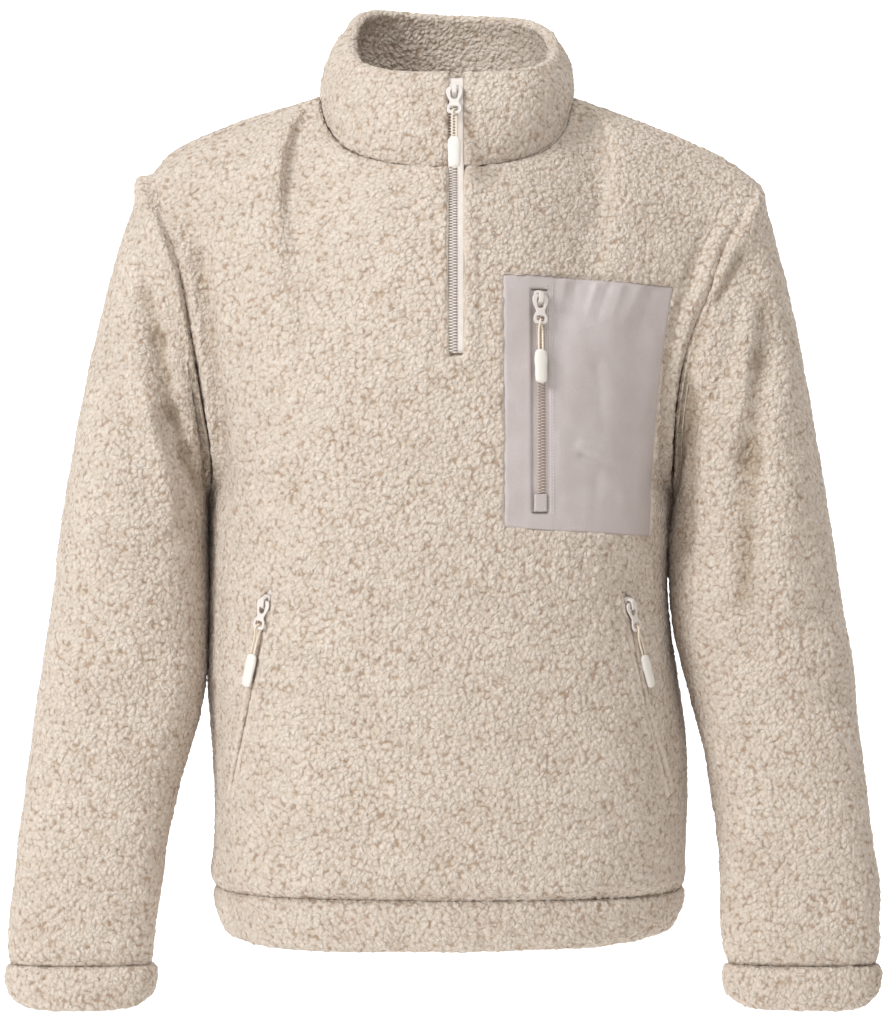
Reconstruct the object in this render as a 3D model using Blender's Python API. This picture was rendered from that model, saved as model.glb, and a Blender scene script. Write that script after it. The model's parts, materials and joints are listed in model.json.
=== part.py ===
"""A sherpa fleece pullover with a quarter-length zip, filled out and hollow.

The origin is at the middle of the neck opening's base, where the garment hangs on the shoulders.
The front faces -Y, +Z is up and +X is to the right of a person who looks at the front.
Sizes are in millimetres and become metres when a mesh is made.
"""

import math

import bpy
import numpy as np
from mathutils import Vector
from mathutils.bvhtree import BVHTree

MM = 0.001

# Cloth
FLEECE = 6.0  # fleece and its pile
COLLAR_THICK = 12.0  # fleece folded double
BAND_THICK = 9.0  # fleece folded double at the hem and the cuffs
WOVEN = 1.2
SEAM_GAP = 0.3
COLLAR_LIFT = 0.45
COLLAR_FOOT_RISE = 5.0  # the foot of the collar's inner layer stands above the seam

# Heights
ARMPIT_Z = -300.0
BODY_END_Z = -614.0
HEM_Z = -654.0
HEM_TILT = 0.012  # the hem hangs lower on the left
SLEEVE_TOP_Z = -345.0
CUFF_SEAM_Z = -669.0
CUFF_END_Z = -704.5

# Neck opening's base, an oval
NECK_X = -3.0
NECK_HALF_WIDTH = 101.0
NECK_FRONT = 88.0
NECK_BACK = 80.0
NECK_Y = -4.0
NECK_COLUMN = math.radians(58)  # the column of the body that ends at the side of the neck

# Collar
COLLAR_TOP_HALF_WIDTH = 87.5
COLLAR_TOP_FRONT = 80.0
COLLAR_TOP_BACK = 82.0
COLLAR_TOP_X = 1.7
COLLAR_FRONT_Z = 24.0
COLLAR_BACK_Z = 91.0
COLLAR_BACK_ROUND = (1.6, 2.4)  # how late the back of the rim falls towards its right and its left end
COLLAR_TILT = 4.0  # the back of the rim stands higher on the left
COLLAR_SQUARE_FRONT = 0.05
COLLAR_SQUARE_BACK = 0.01
COLLAR_BULGE = 5.0

# The corner between the shoulder and the neck softens down the chest, where each column follows its neighbours.
CORNER_EASE = [(0.5 * k / 4, (1 - abs(k) / 5) / 5.0) for k in range(-4, 5)]
CORNER_SPREAD = 0.16

# Armholes
ARMHOLE_FRONT = 58.0
ARMHOLE_BACK = 56.0
ARMHOLE_COLUMN = math.radians(24)  # how far round the body the armhole reaches at mid height

# The sleeve heads: how far they spread at the shoulder tip, and the soft ridge along the seam.
HEAD_SPREAD = {"left": 0.60, "right": 0.42}
HEAD_RIDGE = {"left": 7.5, "right": 3.0}

# Grids of the cloth
SHOULDER_COLUMNS = 6
NECK_COLUMNS = 14
BODY_ROWS = 10
YOKE_ROWS = 11
SLEEVE_HEAD_ROWS = (0, 0.04, 0.09, 0.17, 0.3, 0.47, 0.65, 0.83, 1)
SLEEVE_ROWS = 8
CHEST_ROWS = 8

# Zips
ZIP_X = 3.0
ZIP_SLIT = 16.0
ZIP_FOOT_Z = -199.0
ZIP_TOP_Z = 20.0
FRONT_SLIDER_Z = 8.0
TAPE_DEPTH = 3.2
TAPE_THICK = 1.6
POCKET_SLIT = 9.0
CHEST_SLOT = 16.4


def table(columns, *rows):
    """Rows of sizes under named columns."""
    return dict(zip(columns.split(), np.array(rows, float).T))


# The moulded ends of the pullers, from the cords down
END_PROFILE = table(
    "share swell",
    (0, 0.55),
    (0.05, 0.82),
    (0.17, 1),
    (0.58, 0.97),
    (0.85, 0.93),
    (0.97, 0.7),
    (1, 0.35),
)

# The body below the armpits: its left and right edge, its front and its back, from the armpit to the hem seam.
BODY = table(
    "z left right front back squareness",
    (-300, -189, 176, -138, 124, 0.030),
    (-350, -191, 173, -138, 121, 0.030),
    (-400, -192.5, 175, -137, 118, 0.030),
    (-450, -193.5, 182, -136, 117, 0.030),
    (-500, -190, 188.5, -134, 118, 0.035),
    (-550, -187.5, 189.5, -132, 119, 0.040),
    (-590, -189, 187.5, -131, 119, 0.040),
    (-606, -190, 187.5, -129, 117, 0.040),
    (-614, -187, 186, -124, 113, 0.040),
)

# The front edge of the neck opening falls towards the middle, and the back edge is nearly level.
NECK_EDGE = table(
    "turn front back",
    (0, 14, 14),
    (10, 0, 14),
    (22, -16, 13),
    (38, -33, 12),
    (56, -44, 11),
    (75, -50, 10),
    (90, -51, 10),
)

# The shoulder seams, from the neck to the tip of the shoulder.
SHOULDER_LEFT = table(
    "x z",
    (-103, 14),
    (-137, 4),
    (-167, -5.5),
    (-191, -15),
    (-211.5, -24),
    (-228.5, -34.5),
    (-238.5, -46.5),
)
SHOULDER_RIGHT = table(
    "x z",
    (99, 14),
    (125, 4.5),
    (150, -5),
    (176, -15),
    (199, -25),
    (220, -35),
    (235, -44),
    (243, -51),
)

# The armhole seams, seen from the front.
ARMHOLE_LEFT = table(
    "z x",
    (-300, -189),
    (-280, -188.5),
    (-240, -193),
    (-198, -199),
    (-174, -203),
    (-122, -214),
    (-80, -228),
    (-46.5, -238.5),
)
ARMHOLE_RIGHT = table(
    "z x",
    (-300, 176),
    (-280, 176),
    (-240, 177),
    (-198, 183),
    (-146, 201),
    (-107, 217),
    (-81, 232),
    (-51, 243),
)

# The sleeves below the armpit: the edges seen from the front, and the middle and half depth seen from the side.
SLEEVE_LEFT = table(
    "z outer inner middle half_depth",
    (-345, -310.5, -191.8, -14, 70),
    (-388, -315, -191.4, -22, 63),
    (-420, -319.5, -191.6, -27, 58),
    (-451, -324.0, -193.2, -31, 52),
    (-482, -328, -198.5, -35, 47),
    (-513, -331.7, -208.0, -39, 43),
    (-545, -335, -215.5, -43, 40),
    (-576, -339, -222.0, -47, 37),
    (-606, -342, -225.5, -50, 34),
    (-637, -345.5, -229.6, -54, 32),
    (-660, -346, -232.0, -57, 29),
    (-669, -345.5, -232.0, -57, 26.5),
)
SLEEVE_SQUARE = 0.03
SLEEVE_RIGHT = table(
    "z outer inner middle half_depth",
    (-345, 304.5, 173.8, -14, 70),
    (-388, 310, 174.6, -22, 63),
    (-420, 315.6, 178.5, -27, 58),
    (-451, 319.8, 186.2, -31, 52),
    (-482, 321.5, 194.3, -35, 47),
    (-513, 325.2, 201.0, -39, 43),
    (-545, 328.5, 206.4, -43, 40),
    (-576, 332, 210.0, -47, 37),
    (-606, 336.6, 211.9, -50, 34),
    (-637, 336.5, 212.0, -54, 32),
    (-660, 336, 214.0, -57, 29),
    (-669, 335.0, 216.0, -57, 25.5),
)

# The bands at the cuffs and the hem: how far each stands out from its seam, over its height.
BAND_PROFILE = table(
    "share out",
    (0.0, 0.0),
    (0.12, 2.8),
    (0.5, 3.4),
    (0.85, 1.5),
    (1.0, -1.5),
)
HEM_TAPER = 8.0
CUFF_TAPER = 0.0
HEM_ROUND = 6.0  # how much higher the band's edge is at its two sides
CUFF_ROUND = 10.0

# Large soft folds, seen from the front or the back: a trough has a negative depth, a ridge a positive one.
FOLD_COLUMNS = "facing x0 z0 x1 z1 width depth"
FRONT_SIDE = -1
BACK_SIDE = 1
BODY_FOLDS = table(
    FOLD_COLUMNS,
    (FRONT_SIDE, -196, -120, -178, -300, 9, -5.0),
    (FRONT_SIDE, 204, -130, 166, -300, 9, -6.0),
    (FRONT_SIDE, 168, -300, 150, -400, 12, -4.0),
    (FRONT_SIDE, 166, -400, 168, -520, 14, -4.5),
    (FRONT_SIDE, -172, -310, -150, -420, 16, -3.0),
    (FRONT_SIDE, -120, -470, -40, -540, 26, -2.5),
    (FRONT_SIDE, 60, -480, 130, -560, 26, -2.5),
    (BACK_SIDE, -196, -130, -172, -300, 12, -5.0),
    (BACK_SIDE, 200, -130, 166, -300, 12, -5.0),
    (BACK_SIDE, -150, -330, -90, -440, 20, -3.5),
    (BACK_SIDE, 140, -330, 96, -450, 20, -3.5),
    (BACK_SIDE, -80, -120, 70, -128, 24, -3.0),
    (BACK_SIDE, -60, -500, 70, -520, 26, -3.0),
)
SLEEVE_FOLDS = table(
    FOLD_COLUMNS,
    (FRONT_SIDE, -240, -130, -216, -250, 11, -5.0),
    (FRONT_SIDE, -216, -250, -200, -330, 11, -6.0),
    (FRONT_SIDE, -262, -190, -236, -300, 16, -3.5),
    (FRONT_SIDE, -300, -395, -230, -430, 17, -4.0),
    (FRONT_SIDE, -312, -460, -240, -470, 17, -4.0),
    (FRONT_SIDE, 236, -120, 210, -230, 12, -5.0),
    (FRONT_SIDE, 254, -175, 226, -300, 14, -5.0),
    (FRONT_SIDE, 292, -400, 220, -430, 17, -4.0),
    (FRONT_SIDE, 306, -462, 236, -478, 17, -4.0),
    (BACK_SIDE, -256, -150, -216, -300, 15, -5.0),
    (BACK_SIDE, 256, -150, 206, -300, 15, -5.0),
    (BACK_SIDE, -300, -420, -226, -436, 15, -4.5),
    (BACK_SIDE, 296, -424, 222, -440, 15, -4.5),
    (BACK_SIDE, -306, -470, -240, -462, 15, -4.0),
    (BACK_SIDE, 306, -474, 236, -466, 15, -4.0),
)

# The chest pocket, its zip slot and the foot of that zip, seen from the front.
CHEST_CORNERS = table(
    "x z",
    (40.7, -135.2),
    (175, -142.2),
    (157, -338),
    (41.2, -329),
)
CHEST_RECESS = 2.6
CHEST_ZIP_X = 68.7
CHEST_ZIP_TOP_Z = -147.0
CHEST_ZIP_FOOT_Z = -319.0
CHEST_SLIDER_X = 67.3
CHEST_SLIDER_Z = -154.0
CHEST_STOP_WIDTH = 10.0
CHEST_STOP_LENGTH = 14.0

# The hand pockets' slits, from the top to the foot, seen from the front.
POCKET_LEFT = table("x z", (-140, -377), (-149, -430), (-159.5, -480), (-167, -515), (-172, -543))
POCKET_RIGHT = table("x z", (136, -379), (143.5, -425), (152, -468), (163, -505), (173, -539))

# The sliders and their pullers
SLIDER_LENGTH = 12.0
SLIDER_FROM_TOP = 10.0  # from a hand pocket's top to its slider
SLIDER_HALF_WIDTH = 3.9
SLIDER_THICK = 3.2
BRIDGE_HALF_WIDTH = 1.9
BRIDGE_HEIGHT = 4.6
BRIDGE_LENGTH = 10.0
HINGE_RISE = 1.9  # from the slider's top to the hinge's axis
HINGE_SHARE = 0.1  # along the slider, from its middle
PULL_THICK = 1.3
CORD_RADIUS = 0.75
CORD_RINGS = 21
LEG_SPACING = 1.6  # from the middle to each leg of the cord
EYE_Z = -19.3
CORD_END_Z = -42.0
END_LENGTH = 26.0
END_HALF_WIDTH = 4.9
END_HALF_THICK = 2.4
END_SIDES = 10
# How far each puller leans out from its zip, in degrees
PULLER_LEAN = {"front": 2.0, "chest": 1.0, "pocket_left": 5.0, "pocket_right": 7.0}


def smooth(knots, values, at):
    """A smooth curve through the values at the knots, read at any place."""
    order = np.argsort(knots)
    knots = knots[order]
    values = values[order]
    slopes = np.gradient(values, knots)
    at = np.clip(np.asarray(at, float), knots[0], knots[-1])
    i = np.clip(np.searchsorted(knots, at, side="right") - 1, 0, len(knots) - 2)
    step = knots[i + 1] - knots[i]
    t = (at - knots[i]) / step
    rise = (2 * t**3 - 3 * t**2 + 1) * values[i] + (3 * t**2 - 2 * t**3) * values[i + 1]
    lean = (t**3 - 2 * t**2 + t) * slopes[i] + (t**3 - t**2) * slopes[i + 1]
    return rise + lean * step


def step_up(low, high, at):
    """0 before low, 1 after high, and a smooth rise between them."""
    t = np.clip((at - low) / (high - low), 0, 1)
    return t * t * (3 - 2 * t)


def unit(vectors):
    return vectors / np.maximum(np.linalg.norm(vectors, axis=-1, keepdims=True), 1e-9)


def hermite(start, start_lean, end, end_lean, t):
    t = t[..., None]
    return (
        (2 * t**3 - 3 * t**2 + 1) * start
        + (t**3 - 2 * t**2 + t) * start_lean
        + (3 * t**2 - 2 * t**3) * end
        + (t**3 - t**2) * end_lean
    )


def points(x, y, z):
    return np.stack(np.broadcast_arrays(x, y, z), axis=-1).astype(float)


# ---------------------------------------------------------------- the body's surface


def body_section(column, z, side):
    """A point of the body below the armpits. column runs from 0 at the left seam to pi at the right seam."""
    names = ("left", "right", side, "squareness")
    left, right, depth, square = (smooth(BODY["z"], BODY[name], z) for name in names)
    across = (np.cos(column) - square * np.cos(3 * column)) / (1 - square)
    out = (np.sin(column) + square * np.sin(3 * column)) / (1 - square)
    return points((left + right) / 2 - (right - left) / 2 * across, depth * out, z)


def neck_point(turn, side):
    """A point of the neck seam, turn running from 0 at the left to pi at the right."""
    sign, reach = (-1, NECK_FRONT) if side == "front" else (1, NECK_BACK)
    from_side = np.degrees(np.minimum(turn, math.pi - turn))
    height = smooth(NECK_EDGE["turn"], NECK_EDGE[side], from_side)
    return points(NECK_X - NECK_HALF_WIDTH * np.cos(turn), NECK_Y + sign * reach * np.sin(turn), height)


def top_edge(column, side):
    """Where a column of the body ends, the way it arrives there, and how far it is a shoulder's column."""
    away = -1 if side == "front" else 1
    turn = np.clip((column - NECK_COLUMN) / (math.pi - 2 * NECK_COLUMN), 0, 1) * math.pi
    neck = neck_point(turn, side)
    share_left = np.clip(column / NECK_COLUMN, 0, 1)
    share_right = np.clip((math.pi - column) / NECK_COLUMN, 0, 1)
    ends = neck.copy()
    for share, line, use in (
        (share_left, SHOULDER_LEFT, column < NECK_COLUMN),
        (share_right, SHOULDER_RIGHT, column > math.pi - NECK_COLUMN),
    ):
        x = line["x"][-1] + (line["x"][0] - line["x"][-1]) * share
        seam = points(x, NECK_Y * share, smooth(line["x"], line["z"], x))
        ends = np.where(use[..., None], seam, ends)
    inward = points(np.cos(turn), -away * np.sin(turn), 0.0)
    rise = np.radians(38 + 20 * np.sin(turn))[..., None]
    to_neck = inward * np.cos(rise) + np.array([0, 0, 1.0]) * np.sin(rise)
    over = points(0.0, -away * np.ones_like(column), 0.10)
    from_side = np.minimum(column, math.pi - column)
    shoulder = 1 - step_up(NECK_COLUMN - CORNER_SPREAD, NECK_COLUMN + CORNER_SPREAD, from_side)
    lean = unit(to_neck * (1 - shoulder[..., None]) + over * shoulder[..., None])
    return ends, lean, shoulder


def yoke_point(column, t, side):
    """A point of the body above the armpits, t running from 0 at the armpit to 1 at the shoulder or neck."""
    start = body_section(column, ARMPIT_Z, side)
    below = body_section(column, ARMPIT_Z - 1.0, side)
    end, lean, shoulder = 0, 0, 0
    for step, weight in CORNER_EASE:
        nearby = np.abs(column + step * (1 - t))
        nearby = np.where(nearby > math.pi, 2 * math.pi - nearby, nearby)
        one_end, one_lean, one_shoulder = top_edge(nearby, side)
        end = end + one_end * weight
        lean = lean + one_lean * weight
        shoulder = shoulder + one_shoulder * weight
    height = end[..., 2] - start[..., 2]
    depth = np.linalg.norm(end[..., :2] - start[..., :2], axis=-1)
    start_lean = (start - below) * (height * (1.1 + 0.5 * shoulder))[..., None]
    # How strongly a column runs on into the neck or over the shoulder.
    reach = height * 0.75 * (1 - shoulder) + (depth * 1.65 + 12) * shoulder
    return hermite(start, start_lean, end, lean * reach[..., None], t)


def armhole_point(share, side, which):
    """A point of an armhole seam, share running from 0 at the armpit to 1 at the shoulder tip."""
    line, shoulder = (ARMHOLE_LEFT, SHOULDER_LEFT) if which == "left" else (ARMHOLE_RIGHT, SHOULDER_RIGHT)
    sign, reach = (-1, ARMHOLE_FRONT) if side == "front" else (1, ARMHOLE_BACK)
    top = shoulder["z"][-1]
    z = ARMPIT_Z + (top - ARMPIT_Z) * (1 - np.cos(math.pi * share)) / 2
    y = sign * reach * np.sin(math.pi * share) ** 0.85
    x = np.where(share >= 1, shoulder["x"][-1], smooth(line["z"], line["x"], z))
    return points(x, y, z)


def panel_point(across, up, side):
    """A point of the front or back panel. across runs from 0 to 1 between its edges.

    up runs from -1 at the hem seam through 0 at the armpits to 1 at the shoulders and the neck.
    """
    low = np.minimum(up, 0)
    high = np.maximum(up, 0)
    column = math.pi * across
    lower = body_section(column, ARMPIT_Z + low * (ARMPIT_Z - BODY_END_Z), side)
    cut = ARMHOLE_COLUMN * np.sin(math.pi * np.clip(high, 0, 1)) ** 0.7
    shrunk = cut + (math.pi - 2 * cut) * across
    t = 0.5 * high + 0.25 * (1 - np.cos(math.pi * high))
    upper = yoke_point(shrunk, t, side)
    for which, edge, weight in (("left", cut, (1 - across) ** 4), ("right", math.pi - cut, across**4)):
        shift = armhole_point(high, side, which) - yoke_point(edge, t, side)
        upper = upper + shift * weight[..., None]
    return np.where((up > 0)[..., None], upper, lower)


# ---------------------------------------------------------------- the sleeves' surface


def sleeve_section(angle, z, which):
    """A point of a sleeve below the armpit. angle is 0 at the outer edge, and a quarter turn at the front."""
    line = SLEEVE_LEFT if which == "left" else SLEEVE_RIGHT
    names = ("outer", "inner", "middle", "half_depth")
    outer, inner, middle, half = (smooth(line["z"], line[name], z) for name in names)
    across = (np.cos(angle) - SLEEVE_SQUARE * np.cos(3 * angle)) / (1 - SLEEVE_SQUARE)
    out = (np.sin(angle) + SLEEVE_SQUARE * np.sin(3 * angle)) / (1 - SLEEVE_SQUARE)
    return points((outer + inner) / 2 + (outer - inner) / 2 * across, middle - half * out, z)


def sleeve_point(armhole, angle, down, which):
    """A point of a sleeve. armhole holds the seam's points, and angle the turn at which each one arrives.

    down runs from 0 at the armhole through 1 just below the armpit to 2 at the cuff seam.
    """
    sign = -1 if which == "left" else 1
    head = np.minimum(down, 1)
    tail = np.maximum(down - 1, 0)
    lower = sleeve_section(angle, SLEEVE_TOP_Z + tail * (CUFF_SEAM_Z - SLEEVE_TOP_Z), which)
    end = sleeve_section(angle, SLEEVE_TOP_Z, which)
    end_lean = unit(sleeve_section(angle, SLEEVE_TOP_Z - 1.0, which) - end)
    top = (1 + np.cos(angle)) / 2  # 1 at the shoulder tip, 0 at the armpit
    outward = 0.45 + (HEAD_SPREAD[which] - 0.45) * top
    start_lean = unit(points(sign * outward, -0.35 * np.sin(angle), -0.85))
    span = np.linalg.norm(end - armhole, axis=-1)[..., None]
    upper = hermite(armhole, start_lean * span * 0.55, end, end_lean * span * 0.8, head)
    return np.where((down > 1)[..., None], lower, upper)


# ---------------------------------------------------------------- folds and normals


def fold_depth(where, normals, folds):
    """How far the soft folds move each point along its normal."""
    moved = np.zeros(where.shape[:-1])
    for facing, x0, z0, x1, z1, width, depth in zip(*(folds[name] for name in FOLD_COLUMNS.split())):
        run = np.array([x1 - x0, z1 - z0])
        offset = where[..., [0, 2]] - (x0, z0)
        along = (offset @ run) / (run @ run)
        aside = np.linalg.norm(offset - np.clip(along, 0, 1)[..., None] * run, axis=-1)
        faces = np.clip(normals[..., 1] * facing * 1.6, 0, 1)
        moved += depth * faces * np.exp(-((aside / width) ** 2))
    return moved


def grid_normals(grid, closed, flip):
    """The outward normals of a grid of points, closed in its first direction or open."""
    if closed:
        first = np.roll(grid, -1, axis=0) - np.roll(grid, 1, axis=0)
    else:
        first = np.gradient(grid, axis=0)
    second = np.gradient(grid, axis=1)
    return unit(np.cross(first, second)) * (-1 if flip else 1)


def folded(grid, closed, flip, folds, hold):
    """The grid with its folds, and its normals. hold is 0 where an edge has to stay on its seam."""
    normals = grid_normals(grid, closed, flip)
    grid = grid + normals * (fold_depth(grid, normals, folds) * hold)[..., None]
    return grid, grid_normals(grid, closed, flip)


# ---------------------------------------------------------------- meshes


def material(name, color, roughness, metallic=0.0):
    made = bpy.data.materials.new(name)
    made.use_nodes = True
    shader = made.node_tree.nodes["Principled BSDF"]
    shader.inputs["Base Color"].default_value = (*color, 1.0)
    shader.inputs["Roughness"].default_value = roughness
    shader.inputs["Metallic"].default_value = metallic
    return made


def make(name, verts, faces, finish, is_smooth=True):
    """An object from points in millimetres, with its faces turned outwards."""
    mesh = bpy.data.meshes.new(name)
    mesh.from_pydata([tuple(v) for v in np.asarray(verts) * MM], [], [tuple(map(int, f)) for f in faces])
    mesh.update()
    corners = np.asarray(verts)
    volume = 0.0
    for face in faces:
        a = corners[face[0]]
        for b, c in zip(face[1:-1], face[2:]):
            volume += np.dot(a, np.cross(corners[b], corners[c]))
    if volume < 0:
        mesh.flip_normals()
    if is_smooth:
        mesh.shade_smooth()
        mesh.set_sharp_from_angle(angle=math.radians(50))
    made = bpy.data.objects.new(name, mesh)
    made.data.materials.append(finish)
    bpy.context.scene.collection.objects.link(made)
    return made


def split(verts, a, b, c, d):
    """A four-sided face as two triangles along its shorter diagonal, so that both sides of a seam match."""
    if np.linalg.norm(verts[a] - verts[c]) < np.linalg.norm(verts[b] - verts[d]):
        return [(a, b, c), (a, c, d)]
    return [(a, b, d), (b, c, d)]


def wall(name, outer, normals, thick, finish, closed=False):
    """A wall of cloth from a grid of outer points and the normals that it is thickened against."""
    inner = outer - normals * thick
    rows, columns = outer.shape[:2]
    verts = np.concatenate([outer.reshape(-1, 3), inner.reshape(-1, 3)])
    ids = np.arange(rows * columns).reshape(rows, columns)
    back = ids + rows * columns
    faces = []
    last = rows if closed else rows - 1
    for i in range(last):
        n = (i + 1) % rows
        for j in range(columns - 1):
            faces += split(verts, ids[i, j], ids[n, j], ids[n, j + 1], ids[i, j + 1])
            faces += split(verts, back[i, j], back[i, j + 1], back[n, j + 1], back[n, j])
        faces += split(verts, ids[i, 0], back[i, 0], back[n, 0], ids[n, 0])
        faces += split(verts, ids[i, -1], ids[n, -1], back[n, -1], back[i, -1])
    if not closed:
        for j in range(columns - 1):
            faces += split(verts, ids[0, j], ids[0, j + 1], back[0, j + 1], back[0, j])
            faces += split(verts, ids[-1, j], back[-1, j], back[-1, j + 1], ids[-1, j + 1])
    return make(name, verts, faces, finish)


def loft(name, rings, finish, closed=False, is_smooth=True):
    """A solid through rings of points: round and round when closed, or with a flat cap at each end."""
    rings = np.asarray(rings)
    count, size = rings.shape[:2]
    verts = rings.reshape(-1, 3)
    ids = np.arange(count * size).reshape(count, size)
    faces = []
    for i in range(count if closed else count - 1):
        n = (i + 1) % count
        for j in range(size):
            k = (j + 1) % size
            faces += split(verts, ids[i, j], ids[i, k], ids[n, k], ids[n, j])
    if not closed:
        faces.append(tuple(ids[0][::-1]))
        faces.append(tuple(ids[-1]))
    return make(name, verts, faces, finish, is_smooth)


def cut(target, cutter):
    """Cuts one object out of another with a modifier, and keeps the cutter out of the model."""
    modifier = target.modifiers.new("cut " + cutter.name, "BOOLEAN")
    modifier.operation = "DIFFERENCE"
    modifier.solver = "EXACT"
    modifier.object = cutter
    cutter.hide_render = True
    cutter.display_type = "WIRE"


class Surface:
    """Reads the point and the normal of an outer surface at a place seen from the front."""

    def __init__(self, grids):
        verts = []
        faces = []
        for grid in grids:
            rows, columns = grid.shape[:2]
            ids = np.arange(rows * columns).reshape(rows, columns) + len(verts)
            verts.extend(grid.reshape(-1, 3).tolist())
            for i in range(rows - 1):
                for j in range(columns - 1):
                    faces.append((ids[i, j], ids[i + 1, j], ids[i + 1, j + 1], ids[i, j + 1]))
        self.tree = BVHTree.FromPolygons(verts, faces)

    def at(self, x, z):
        reach = 4.0
        hits = []
        for dx, dz in ((0, 0), (reach, 0), (-reach, 0), (0, reach), (0, -reach)):
            hit = self.tree.ray_cast(Vector((x + dx, -400, z + dz)), Vector((0, 1, 0)))[0]
            hits.append(np.array(hit) if hit else None)
        if hits[0] is None:
            raise ValueError(f"no cloth at x {x}, z {z}")
        right, left, above, below = (hits[0] if hit is None else hit for hit in hits[1:])
        normal = unit(np.cross(right - left, above - below))
        return hits[0], normal


# ---------------------------------------------------------------- the cloth


def shared(*sets):
    """The mean direction of the normals that pieces have along the seam they share."""
    return unit(sum(sets))


def inset(grid, from_start, from_end, axis):
    """Moves the edges of a grid half a seam gap inwards along the surface."""
    grid = np.moveaxis(grid.copy(), axis, 0)
    if from_start:
        grid[0] += unit(grid[1] - grid[0]) * SEAM_GAP / 2
    if from_end:
        grid[-1] += unit(grid[-2] - grid[-1]) * SEAM_GAP / 2
    return np.moveaxis(grid, 0, axis)


def columns_across():
    """Where the columns of the body's panels stand, from 0 to 1, and the two that meet the neck's sides."""
    edge = NECK_COLUMN / math.pi
    left = np.linspace(0, edge, SHOULDER_COLUMNS + 1)[:-1]
    middle = np.linspace(edge, 1 - edge, NECK_COLUMNS + 1)
    right = np.linspace(1 - edge, 1, SHOULDER_COLUMNS + 1)[1:]
    return np.concatenate([left, middle, right]), SHOULDER_COLUMNS, SHOULDER_COLUMNS + NECK_COLUMNS


def rows_up(body_rows, yoke_rows):
    """The rows of the body's panels, closer together where the body turns in to the hem seam."""
    height = ARMPIT_Z - BODY_END_Z
    turn_in = -1 + np.array([0, 8, 22]) / height
    body = np.linspace(-1 + 50 / height, 0, body_rows - 2)
    return np.concatenate([turn_in, body, np.linspace(0, 1, yoke_rows + 1)[1:]])


def panel_hold(across, up):
    """How freely the folds move a panel: not at all along its seams."""
    from_side = step_up(0, 0.05, np.minimum(across, 1 - across))
    return from_side * step_up(0, 0.10, up + 1) * (1 - step_up(0.88, 1, up))


def panel(side, across, up):
    grid = panel_point(*np.meshgrid(across, up, indexing="ij"), side)
    hold = panel_hold(*np.meshgrid(across, up, indexing="ij"))
    return folded(grid, False, side == "back", BODY_FOLDS, hold)


def sleeve(which, armhole, down):
    """A sleeve's grid. armhole holds the seam from the tip down the front to the armpit, then up the back."""
    steps = np.linalg.norm(np.diff(armhole, axis=0, append=armhole[:1]), axis=-1)
    half = len(armhole) // 2
    front = np.concatenate([[0], np.cumsum(steps[:half])]) / steps[:half].sum()
    back = np.concatenate([[0], np.cumsum(steps[half:])]) / steps[half:].sum()
    angle = math.pi * np.concatenate([front[:-1], 1 + back[:-1]])
    angles, downs = np.meshgrid(angle, down, indexing="ij")
    start = np.repeat(armhole[:, None], len(down), axis=1)
    grid = sleeve_point(start, angles, downs, which)
    from_armpit = np.abs(np.cos(angles / 2))
    ridge = HEAD_RIDGE[which] * np.exp(-(((downs - 0.06) / 0.05) ** 2)) * step_up(0, 0.04, downs)
    ridge = ridge * (0.4 + 0.6 * from_armpit**2) * step_up(0, 0.35, from_armpit)
    grid = grid + grid_normals(grid, True, which == "left") * ridge[..., None]
    hold = step_up(0.0, 0.25, downs) * (1 - step_up(1.9, 2.0, downs))
    return folded(grid, True, which == "left", SLEEVE_FOLDS, hold)


def band_rings(seam, seam_normals, height_to, taper, rounding, tilt=0.0):
    """Rings of a band folded double that starts at a seam and ends at an edge at a given height."""
    rings = []
    middle = seam.mean(axis=0)
    reach = np.abs(seam[:, 0] - middle[0]).max()
    for point, normal in zip(seam, seam_normals):
        level = unit(normal * (1, 1, 0))
        inward = unit((middle - point) * (1, 1, 0))
        aside = abs(point[0] - middle[0]) / reach
        drop = point[2] - height_to - tilt * point[0] - rounding * aside**5
        outside = [
            point + level * out + np.array([0, 0, -drop * share]) + inward * taper * share
            for share, out in zip(BAND_PROFILE["share"], BAND_PROFILE["out"])
        ]
        inside = [
            outside[-1] - level * BAND_THICK / 2,
            outside[3] - level * BAND_THICK,
            outside[2] - level * BAND_THICK,
            point - normal * BAND_THICK,
        ]
        rings.append(np.array(outside + inside))
    return np.array(rings)


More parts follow.
